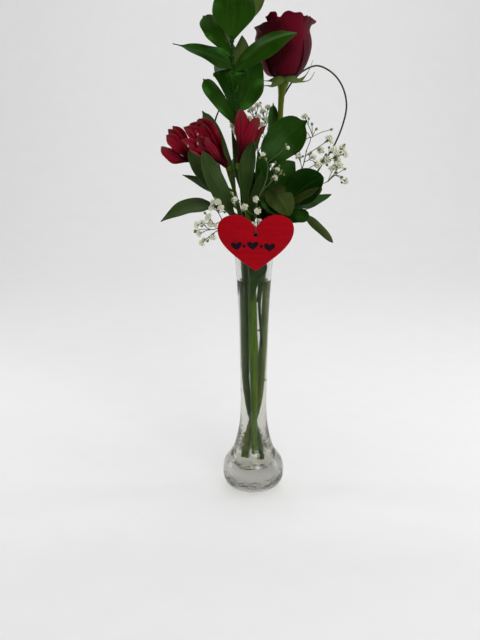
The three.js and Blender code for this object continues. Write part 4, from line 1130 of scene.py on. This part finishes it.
class BOUQUET_OT_rose_bloom(bpy.types.Operator):
    """Wrap the rose's petals round one another, the outer ones with rolled lips"""

    bl_idname = "bouquet.rose_bloom"
    bl_label = "Rose bloom"

    def execute(self, context):
        look = context.scene.bouquet_rose
        thickness = look.petal_thickness / MM
        bloom = Piece("rose_petals", 31)
        place = Matrix.Translation(ROSE_SEAT) @ Matrix.Rotation(ROSE_TILT, 4, "Y")
        for *edges, tone, wave in SHOWN_PETALS:
            petal = rose_petal(*edges, wave, bloom.rng, thickness=thickness)
            bloom.add(petal, keep=True, matrix=place, tone=tone)
        for spec in WRAPPED_PETALS:
            petal = wrapped_petal(*spec, bloom.rng, thickness=thickness)
            bloom.add(petal, keep=True, matrix=place)
        for i in range(INNER_PETALS):
            share = i / (INNER_PETALS - 1)
            azimuth = 40 + i * GOLDEN_ANGLE
            lower = 5 * max(0, -math.cos(math.radians(azimuth))) * (1 - share)
            petal = wrapped_petal(azimuth, 56 + 44 * share, 0.76 - 0.6 * share**0.9,
                                  46.5 - 2 * share - lower + bloom.rng.uniform(-0.6, 0.6),
                                  0.8 * (1 - share), bloom.rng, inward=0.04 + 0.2 * share,
                                  layer=1.0, thickness=thickness, rows=18, columns=16)
            bloom.add(petal, keep=True, matrix=place)
        bloom.finish([self.velvet(look, "rose_velvet", 1.0),
                      self.velvet(look, "rose_velvet_outside", 1.25)], "rose_petal", "rose_bloom")
        return {"FINISHED"}

    @staticmethod
    def velvet(look, name, gain):
        shade = Shade(name, Roughness=0.6, Sheen_Weight=0.06, Sheen_Roughness=0.3,
                      Sheen_Tint=(*look.sheen, 1), Specular_IOR_Level=0.2,
                      Specular_Tint=glow(look.petal, 0.15))
        veins = shade.noise(shade.coordinates("UV", (40, 2.2, 1)), 1.0, detail=4, roughness=0.65)
        cloud = shade.noise(shade.coordinates(), 90)
        across, along, _ = shade.axes("UV")
        # Besides veins and mottling, the colour holds painted light and shade: darker at a petal's
        # root deep in the cup, lighter towards its right side where the light falls, and darker or
        # lighter by its tone.
        fac = shade.total((veins, 0.55), (along, 0.25), (cloud, 0.2),
                          (shade.math("SUBTRACT", across, 0.6), 0.22), (shade.tone(), 0.5))
        bright = [min(1, c) for c in times(look.petal, gain)]
        colour = shade.ramp(fac, (0.48, look.petal_dark_and_shade), (1.0, bright))
        # Painted sheen along each petal's edges.
        margin = shade.spread(shade.from_middle(across), 0.43, 0.5, 0.0, 0.12)
        shade.feed("Base Color", shade.mix(margin, colour, look.margin))
        shade.bump(shade.math("ADD", veins, shade.noise(shade.coordinates(), 1500)), 0.00012)
        return shade.material


# Sepals: points of the midrib in the part's frame, width, facing.
SEPALS = [
    ([(23.4, 3.5, 353), (20.5, -0.5, 351.5), (17, -2.5, 347.5), (13.6, -3, 344.4),
      (9.5, -3, 344.6), (5, -3, 343.8)], 10, (-0.3, -0.9, 0.2)),
    ([(21, 8, 352), (15.5, 8.5, 349.6), (10.5, 9, 348.2), (5.4, 9.5, 348.7)], 6.5,
     (-0.3, -0.7, 0.8)),
    ([(24.6, 3.6, 353.4), (27.5, 0.5, 352), (31.5, -1.5, 350), (35, -1.5, 348.6),
      (39.8, -0.5, 347.8), (44.6, 0, 349.3), (48.3, 1, 355.2)], 8, (0.2, -0.9, 0.5)),
    ([(26, 9, 352), (32, 11.5, 350.2), (37.3, 13.5, 349.1), (41.4, 14, 351.8),
      (44.6, 14, 356.6), (47.7, 14, 364.5)], 5.5, (0.3, -0.6, 0.8)),
    ([(23.6, 11.5, 352), (22.5, 17, 349.6), (20.5, 22.5, 346), (19, 25.5, 347.6)], 7.5,
     (0, 0.8, 0.7)),
]
# The hip swells from the stem's top to the seat: points of its middle, then height and radius.
HIP_PATH = [(22.6, 8, 342), (23.2, 8, 347.5), (23.6, 8, 351.4)]
HIP = [(20, 2.9), (60, 2.5), (100, 2.3), (300, 2.25), (330, 2.3), (337, 2.55), (342, 3.6),
       (345.5, 4.6), (347.6, 4.95), (350, 4.75), (351.4, 3.6)]
# Thorns: height on the stem, angle round it in degrees, length.
THORNS = [(48, 200, 2.6), (96, 20, 2.2), (141, 190, 2.4), (171, -30, 2.2), (205, 150, 2.0),
          (262, 10, 2.6), (301, 175, 2.4)]


def ribbon(points, width, facing):
    """A narrow green strip along a path, broad at its root and thin as a hair at its tip."""
    path = smooth_path(points, 8)
    facing = Vector(facing).normalized()
    shape = OUTLINES["sepal"]

    def place(t, u):
        where = t * (len(path) - 1)
        index = min(int(where), len(path) - 2)
        rib = path[index].lerp(path[index + 1], where - index)
        along = (path[index + 1] - path[index]).normalized()
        across = along.cross(facing).normalized()
        up = across.cross(along)
        half = width / 2 * max(0.055, shape(t))
        return rib + across * half * u - up * (half * 0.3 * u * u)

    return sheet(26, 6, 0.5, place)


class BOUQUET_OT_rose_stem(bpy.types.Operator):
    """Grow the rose's stem with its bark, thorns, hip and curled sepals"""

    bl_idname = "bouquet.rose_stem"
    bl_label = "Rose stem"

    def execute(self, context):
        look = context.scene.bouquet_rose
        radius, points = STEMS["rose"]
        path = smooth_path(points + HIP_PATH, 8)
        stem = Piece("rose_stem_green", 32)
        hip = along_stem(HIP, path)
        stem.add(sweep(path, lambda t: hip(t) * (1 + 0.03 * math.sin(50 * t)), 20), tone=0.4)
        for height, degrees, length in THORNS:
            foot = point_at(path, height)
            angle = math.radians(degrees)
            out = Vector((math.cos(angle), math.sin(angle), 0))
            spine = [foot + out * reach + Vector((0, 0, lift)) for reach, lift in (
                (radius * 0.7, 1.1), (radius + length * 0.45, 0.4), (radius + length, -0.9))]
            stem.add(sweep(smooth_path(spine, 4), lambda t: 1.25 * (1 - t) ** 1.2 + 0.07),
                     1, tone=0.2)
        for sepal in SEPALS:
            stem.add(ribbon(*sepal), 2)
        stem.finish([stem_material("rose_stem", look.green_dark, look.green, look.bark, 0.058),
                     stem_material("rose_thorn", look.bark, look.green),
                     leaf_material("rose_sepal", times(look.sepal, 0.5), look.sepal, 0.6,
                                   0.0002, 18)], "rose_green", "rose_stem")
        return {"FINISHED"}


# ---- Ruscus and alstroemeria ----


def along_stem(table, path):
    """A function of 0 to 1 along a rising path that reads a table by the height there."""
    return lambda t: between(table, path[round(t * (len(path) - 1))].z)


def leafy_stem(piece, stem, leaves, thickness, *, wave, fold, knots=True):
    """A stem with its leaves. Materials: stem 0, leaf 1, underside 2."""
    radius, points = STEMS[stem]
    path = smooth_path(points, 8)
    swell = along_stem(SWELL[stem], path)
    piece.add(sweep(path, lambda t: radius * swell(t)), tone=0.5)
    for height, tip, width, facing, bow, outline, *extra in leaves:
        root = point_at(path, height)
        look = {"fold": fold, **(extra[0] if extra else {})}
        tone = look.pop("tone", None)
        leaf = blade(root, tip, bow, facing, width, outline, piece.rng, rows=28, columns=12,
                     wave=wave * piece.rng.uniform(0.5, 1.2), thickness=thickness, **look)
        piece.add(leaf, 1, keep=True, tone=tone)
        if knots:
            piece.add(solid(bmesh.ops.create_icosphere, subdivisions=2, radius=radius * 1.25),
                      matrix=Matrix.Translation(root), tone=0.3)


class BOUQUET_OT_ruscus(bpy.types.Operator):
    """Grow the three stems of glossy ruscus"""

    bl_idname = "bouquet.ruscus"
    bl_label = "Ruscus"

    def execute(self, context):
        look = context.scene.bouquet_foliage
        materials = [
            stem_material("ruscus_stem", look.ruscus, look.ruscus_light),
            leaf_material("ruscus_leaf", look.ruscus, look.ruscus_light, 0.3, 0.00012, 34),
            leaf_material("ruscus_underside", times(look.ruscus_back, 0.4), look.ruscus_back,
                          0.45, 0.0002, 30),
        ]
        for stem, leaves, seed in (("tall", TALL_LEAVES, 41), ("middle", MIDDLE_LEAVES, 42),
                                   ("low", LOW_LEAVES, 43)):
            piece = Piece("ruscus_" + stem + "_stem", seed)
            leafy_stem(piece, stem, leaves, look.leaf_thickness / MM, wave=0.12, fold=0.05)
            piece.finish(materials, "ruscus", "ruscus_" + stem)
        return {"FINISHED"}


def bloom_axis(name):
    """The base of a bloom, and the direction from it to the middle of its tepals' tips."""
    base, tepals, _ = BLOOMS[name]
    base = Vector(base)
    mouth = sum((Vector(tip) for tip, *_ in tepals), Vector()) / len(tepals)
    return base, (mouth - base).normalized()


def pedicel(piece, name):
    """The stalk of a bloom and the ribbed green ovary under it."""
    base, axis = bloom_axis(name)
    if name in PEDICELS:
        piece.add(sweep(smooth_path(PEDICELS[name], 8), 1.0), tone=0.5)
    pod = solid(bmesh.ops.create_uvsphere, u_segments=18, v_segments=12, radius=2.4)
    for vert in pod.verts:
        ridge = 1 + 0.09 * math.cos(6 * math.atan2(vert.co.y, vert.co.x))
        vert.co = Vector((vert.co.x * ridge, vert.co.y * ridge, vert.co.z * 1.3))
    piece.add(pod, matrix=Matrix.Translation(base - axis * 3.2) @ upright_to(axis), tone=0.8)


class BOUQUET_OT_alstroemeria_leaves(bpy.types.Operator):
    """Grow the alstroemeria stems and their long veined leaves"""

    bl_idname = "bouquet.alstroemeria_leaves"
    bl_label = "Alstroemeria stems"

    def execute(self, context):
        look = context.scene.bouquet_foliage
        dark, light = look.alstroemeria, look.alstroemeria_light
        leaf = [
            leaf_material("alstroemeria_leaf", dark, light, 0.45, 0.0004, 20, 0.26),
            leaf_material("alstroemeria_underside", light, times(light, 1.5), 0.6, 0.0003, 20),
        ]
        dull = stem_material("alstroemeria_stem", times(look.stem_dark, 0.44),
                             times(look.stem_light, 0.5))
        bright = stem_material("alstroemeria_stem_bright", look.stem_dark, look.stem_light)
        for stem, leaves, seed, blooms, green in (
                ("left", LEFT_LEAVES, 51, ("far_left", "open"), dull),
                ("centre", CENTRE_LEAVES, 52, ("centre",), bright)):
            piece = Piece("alstroemeria_" + stem + "_stem", seed)
            leafy_stem(piece, stem, leaves, look.leaf_thickness / MM, wave=0.16, fold=0.08,
                       knots=False)
            for bloom in blooms:
                pedicel(piece, bloom)
            piece.finish([green] + leaf, "alstroemeria_green", "alstroemeria_" + stem)
        return {"FINISHED"}


class BOUQUET_OT_blooms(bpy.types.Operator):
    """Open the three alstroemeria blooms with their streaked tepals and stamens"""

    bl_idname = "bouquet.blooms"
    bl_label = "Alstroemeria blooms"

    def execute(self, context):
        look = context.scene.bouquet_blossoms
        materials = [
            self.tepal(look, "tepal_inside", 1.25, band_depth=0.05),
            self.tepal(look, "tepal_outside", 1.15, band_depth=0.3),
            speckled("filament", 400, look.tepal_dark_and_shade, look.tepal, relief=0.0001, Roughness=0.5),
            speckled("anther", 1800, times(look.anther, 0.45), look.anther, relief=0.0003,
                     Roughness=0.8),
        ]
        for number, (name, (_, tepals, stamens)) in enumerate(BLOOMS.items()):
            base, axis = bloom_axis(name)
            piece = Piece("alstroemeria_bloom_" + name, 61 + number)
            for tip, width, facing, bow, *outline in tepals:
                root = base.lerp(Vector(tip), 0.03)
                petal = blade(root, tip, bow, facing, width, *(outline or ["tepal"]), piece.rng,
                              cup=0.8, wave=0.22, fold=0.12, ridge=0.08, thickness=0.4, rows=30,
                              columns=20)
                piece.add(petal, keep=True)
            throat = turned([(0, -1), (1.8, -1), (2.3, 2), (2.8, 6), (1.6, 6), (0, 5)], 16)
            piece.add(throat, 1, matrix=Matrix.Translation(base) @ upright_to(axis))
            for end in stamens:
                end = Vector(end)
                bend = base.lerp(end, 0.55) + Vector((0, -1.5, 1.5))
                piece.add(sweep(smooth_path([base + axis * 3, bend, end], 5), 0.3, 6), 2)
                anther = solid(bmesh.ops.create_uvsphere, u_segments=10, v_segments=8, radius=0.7)
                bmesh.ops.scale(anther, vec=(0.8, 0.8, 1.6), verts=anther.verts)
                lean = Matrix.Rotation(piece.rng.uniform(-0.8, 0.8), 4, "Y")
                piece.add(anther, 3, matrix=Matrix.Translation(end) @ lean)
            piece.finish(materials, "alstroemeria_petal", "bloom_" + name)
        return {"FINISHED"}

    @staticmethod
    def tepal(look, name, gain, band_depth):
        """Red with veins, darker towards the root as painted shade in the throat, a darker band
        along the middle, and a grey-green tip.
        """
        shade = Shade(name, Roughness=0.45, Specular_IOR_Level=0.3,
                      Specular_Tint=glow(look.tepal, 0.12))
        veins = shade.noise(shade.coordinates("UV", (24, 2, 1)), 1.0, roughness=0.6)
        across, along, _ = shade.axes("UV")
        # Painted shade: darker towards the root, deep in the throat.
        rise = shade.math("ADD", along, shade.math("MULTIPLY", veins, 0.9))
        bright = [min(1, c) for c in times(look.tepal, gain)]
        colour = shade.ramp(rise, (0.7, look.tepal_dark_and_shade), (1.25, bright))
        inner = shade.math("SUBTRACT", shade.from_middle(across),
                           shade.math("MULTIPLY", veins, 0.5))
        band_colour = [(a + 3 * b) / 4 for a, b in zip(look.tepal_streak, look.tepal_dark_and_shade)]
        colour = shade.mix(shade.spread(inner, -0.25, 0.0, band_depth, 0.0), colour, band_colour)
        tip = shade.spread(rise, 1.3, 1.5, 0.0, 0.7)
        shade.feed("Base Color", shade.mix(tip, colour, look.tepal_streak))
        shade.bump(veins, 0.0003)
        return shade.material


# ---- Baby's breath ----


FLORET_PETALS = 22
BUD_RADIUS = 1.15
SMALL_BUD_RADIUS = 1.0


def floret(radius, rng):
    """A small double flower: a ruffled ball of short petals on an olive cup."""
    flower = bmesh.new()
    collected = bpy.data.meshes.new("floret")
    for i in range(FLORET_PETALS):
        lean = math.acos(1 - 1.35 * (i + 0.5) / FLORET_PETALS)
        turn = (Matrix.Rotation(i * 2.4 + rng.uniform(-0.2, 0.2), 4, "Z")
                @ Matrix.Rotation(lean, 4, "Y") @ Matrix.Rotation(rng.uniform(-0.7, 0.7), 4, "Z"))
        petal = solid(bmesh.ops.create_cube, size=1)
        reach = radius * rng.uniform(0.82, 1.05)
        for vert in petal.verts:
            outer = vert.co.z > 0
            vert.co.z = reach if outer else 0.1 * radius
            vert.co.y *= radius * (0.72 if outer else 0.2)
            vert.co.x *= radius * (0.16 if outer else 0.1)
        bmesh.ops.transform(petal, matrix=turn, verts=petal.verts)
        petal.to_mesh(collected)
        petal.free()
        flower.from_mesh(collected)
    cup = solid(bmesh.ops.create_cone, cap_ends=True, segments=6, radius1=radius * 0.14,
                radius2=radius * 0.46, depth=radius * 0.7)
    bmesh.ops.translate(cup, verts=cup.verts, vec=(0, 0, -radius * 0.3))
    for face in cup.faces:
        face.material_index = 1
    cup.to_mesh(collected)
    cup.free()
    flower.from_mesh(collected)
    bpy.data.meshes.remove(collected)
    return flower


def bud(radius):
    """A small green bud, a little pointed."""
    made = solid(bmesh.ops.create_icosphere, subdivisions=2, radius=radius)
    for vert in made.verts:
        narrow = 1 - 0.35 * max(0, vert.co.z / radius)
        vert.co = (vert.co.x * narrow, vert.co.y * narrow, vert.co.z * 1.25)
    return made


class BOUQUET_OT_babys_breath(bpy.types.Operator):
    """Branch the four sprays of baby's breath and set their florets and buds"""

    bl_idname = "bouquet.babys_breath"
    bl_label = "Baby's breath"

    def execute(self, context):
        look = context.scene.bouquet_blossoms
        materials = [
            stem_material("gypsophila_twig", times(look.twig, 0.55), look.twig),
            self.petal(look),
            speckled("gypsophila_calyx", 600, look.twig, look.floret_centre, detail=2,
                     relief=0.0002, Roughness=0.6),
        ]
        radius = look.floret_radius / MM
        for number, (name, (points, twigs)) in enumerate(SPRAYS.items()):
            piece = Piece("gypsophila_" + name, 71 + number)
            rng = piece.rng
            path = smooth_path(points)
            piece.add(sweep(path, lambda t: 0.6 - 0.15 * t, 6))
            fork = None
            for start, knee, flowers, buds in twigs:
                root = fork if start == "knee" else point_at(path, start)
                knee = Vector(knee)
                first = Vector((flowers + buds)[0][:3])
                main = smooth_path([root, knee, first], 7)
                fork = main[len(main) // 2]
                piece.add(sweep(main, 0.36, 6))
                piece.add(solid(bmesh.ops.create_icosphere, subdivisions=1, radius=0.75),
                          matrix=Matrix.Translation(root))
                for spot, opened in [(p, True) for p in flowers] + [(p, False) for p in buds]:
                    place = Vector(spot[:3])
                    if (place - first).length > 0.01:
                        bend = knee.lerp(place, 0.5) + Vector((0, 0, 0.8))
                        piece.add(sweep(smooth_path([knee, bend, place], 4), 0.3, 5))
                    if not opened:
                        self.head(piece, place, knee, BUD_RADIUS, False)
                        continue
                    self.head(piece, place, knee, radius * (spot[3] if len(spot) > 3 else 1), True)
                    # Beside each floret stands a smaller one or a bud.
                    aside = self.inside(place + Vector((rng.uniform(-4, 4), rng.uniform(-3, 4),
                                                        rng.uniform(-3, 3.5))))
                    piece.add(sweep(smooth_path([knee.lerp(place, 0.55), aside], 3), 0.22, 5))
                    small = rng.random() < 0.3
                    size = radius * rng.uniform(0.6, 0.8) if small else SMALL_BUD_RADIUS
                    self.head(piece, aside, knee, size, small)
            piece.finish(materials, "babys_breath", "babys_breath_" + name, flat=0.5)
        return {"FINISHED"}

    @staticmethod
    def inside(point):
        """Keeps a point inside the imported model's box."""
        low, high = (Vector(c) / MM for c in CAD_BOX)
        room = 4
        return Vector(min(max(point[k], low[k] + room), high[k] - room) for k in range(3))

    @staticmethod
    def head(piece, place, knee, size, opened):
        """Sets a floret or a bud that looks away from its twig's knee."""
        spin = Matrix.Rotation(piece.rng.uniform(0, math.tau), 4, "Z")
        matrix = Matrix.Translation(place) @ upright_to((place - knee).normalized()) @ spin
        if opened:
            piece.add(floret(size, piece.rng), 1, keep=True, matrix=matrix)
        else:
            piece.add(bud(size), 2, matrix=matrix, tone=0.7)

    @staticmethod
    def petal(look):
        shade = Shade("gypsophila_petal", Roughness=0.7, Sheen_Weight=0.1)
        fac = shade.noise(shade.coordinates(), 420, detail=2)
        shifted = shade.math("ADD", fac, shade.math("MULTIPLY", shade.tone(), 0.25))
        olive = shade.mix(0.35, look.floret, look.floret_centre)
        lit = shade.ramp(shifted, (0.36, (0, 0, 0)), (0.6, (1, 1, 1)))
        shade.feed("Base Color", shade.mix(lit, olive, look.floret))
        shade.bump(fac, 0.0002)
        return shade.material


# ---- Bear grass ----


class BOUQUET_OT_bear_grass(bpy.types.Operator):
    """Bend the two long blades of bear grass"""

    bl_idname = "bouquet.bear_grass"
    bl_label = "Bear grass"

    def execute(self, context):
        look = context.scene.bouquet_foliage
        grass = stem_material("bear_grass_blade", look.grass, look.grass_light)
        half = look.grass_width / MM / 2
        # How much a blade thins over its last quarter. The right one bends back to the lip.
        taper = {"right": 0, "left": 0.75}
        for number, (name, points) in enumerate(GRASS.items()):
            piece = Piece("bear_grass_blade_" + name, 81 + number)
            piece.add(sweep(smooth_path(points), lambda t: half * (
                1 - taper[name] * max(0, t - 0.75) / 0.25) * 0.8, 8, wide=1.2))
            piece.finish([grass], "bear_grass", "grass_" + name)
        return {"FINISHED"}


# ---- Stage: metres ----

CAMERA_PLACE = (-0.0117, -0.866, 0.3644)
CAMERA_TILT = 76.1


class BOUQUET_OT_stage(bpy.types.Operator):
    """Set the pale floor with its curved backdrop, the soft lights and the camera"""

    bl_idname = "bouquet.stage"
    bl_label = "Stage"

    def execute(self, context):
        scene = context.scene
        look = scene.bouquet_stage
        self.backdrop(look)
        # The lights: name, place, width, height, power, and for the last what it points to.
        self.softbox("overhead_light", (0.15, -0.25, 1.5), 1.1, 1.1, look.key)
        self.softbox("front_light", (0.5, -1.3, 1.0), 0.7, 0.7, look.front)
        self.softbox("right_light", (0.8, 0.15, 0.4), 0.25, 0.9, look.side)
        self.softbox("left_light", (-0.8, 0.15, 0.4), 0.25, 0.9, look.side)
        self.softbox("backdrop_light", (0, 0.75, 1.7), 2.4, 0.5, look.back, (0, 1.5, 0.4))
        world = bpy.data.worlds.new("studio_room")
        world.use_nodes = True
        world.node_tree.nodes["Background"].inputs["Color"].default_value = (1, 1, 1, 1)
        world.node_tree.nodes["Background"].inputs["Strength"].default_value = look.sky
        scene.world = world
        lens = bpy.data.cameras.new("camera")
        lens.lens = look.lens
        lens.sensor_width = 36
        lens.clip_start = 0.01
        camera = linked("camera", lens)
        camera.location = CAMERA_PLACE
        camera.rotation_euler = (math.radians(CAMERA_TILT), 0, 0)
        scene.camera = camera
        scene.view_settings.view_transform = "Standard"
        return {"FINISHED"}

    @staticmethod
    def backdrop(look):
        """A floor that sweeps up behind the object, drawn as a strip and extruded sideways."""
        bm = bmesh.new()
        side, radius, down = 3.0, 0.8, -0.0005
        curve = [(0.9 + radius * math.sin(a), radius - radius * math.cos(a) + down)
                 for a in (math.pi / 2 * i / 12 for i in range(13))]
        _, edges = chain(bm, [(-side, y, z) for y, z in [(-side, down), *curve, (1.7, 3.2)]])
        made = bmesh.ops.extrude_edge_only(bm, edges=edges)
        bmesh.ops.translate(bm, vec=(2 * side, 0, 0), verts=only(made, bmesh.types.BMVert))
        for face in bm.faces:
            face.smooth = True
        mesh = bpy.data.meshes.new("backdrop")
        bm.to_mesh(mesh)
        bm.free()
        mesh.materials.append(speckled("backdrop_paper", 30, times(look.floor, 0.985),
                                       look.floor, Roughness=0.9))
        floor = linked("backdrop", mesh)

    @staticmethod
    def softbox(name, place, width, height, power, target=(0, 0, 0.25)):
        light = bpy.data.lights.new(name, "AREA")
        light.shape = "RECTANGLE"
        light.size = width
        light.size_y = height
        light.energy = power
        box = linked(name, light)
        box.location = place
        aim = Vector(target) - Vector(place)
        box.rotation_euler = aim.to_track_quat("-Z", "Y").to_euler()


# ---- Panel and registration ----

OPERATORS = (
    BOUQUET_OT_vase,
    BOUQUET_OT_water,
    BOUQUET_OT_rose_stem,
    BOUQUET_OT_rose_bloom,
    BOUQUET_OT_ruscus,
    BOUQUET_OT_alstroemeria_leaves,
    BOUQUET_OT_blooms,
    BOUQUET_OT_babys_breath,
    BOUQUET_OT_bear_grass,
    BOUQUET_OT_heart,
    BOUQUET_OT_cord,
    BOUQUET_OT_stage,
)
SETTINGS = {
    "bouquet_vase": VaseSettings,
    "bouquet_rose": RoseSettings,
    "bouquet_foliage": FoliageSettings,
    "bouquet_blossoms": BlossomSettings,
    "bouquet_tag": TagSettings,
    "bouquet_stage": StageSettings,
}


class BOUQUET_PT_sidebar(bpy.types.Panel):
    """Lists the bouquet's pieces and their settings"""

    bl_label = "Rose bud vase"
    bl_idname = "BOUQUET_PT_sidebar"
    bl_space_type = "VIEW_3D"
    bl_region_type = "UI"
    bl_category = "Bouquet"

    def draw(self, context):
        for operator in OPERATORS:
            self.layout.operator(operator.bl_idname)
        for name, group in SETTINGS.items():
            box = self.layout.box()
            for key in group.__annotations__:
                box.prop(getattr(context.scene, name), key)


def register():
    for name, group in SETTINGS.items():
        bpy.utils.register_class(group)
        setattr(bpy.types.Scene, name, PointerProperty(type=group))
    for operator in OPERATORS:
        bpy.utils.register_class(operator)
    bpy.utils.register_class(BOUQUET_PT_sidebar)


def unregister():
    bpy.utils.unregister_class(BOUQUET_PT_sidebar)
    for operator in reversed(OPERATORS):
        bpy.utils.unregister_class(operator)
    for name, group in reversed(SETTINGS.items()):
        delattr(bpy.types.Scene, name)
        bpy.utils.unregister_class(group)


def main():
    """Makes every piece in order."""
    register()
    for operator in OPERATORS:
        family, action = operator.bl_idname.split(".")
        getattr(getattr(bpy.ops, family), action)()
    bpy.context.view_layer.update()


if __name__ == "__main__":
    main()
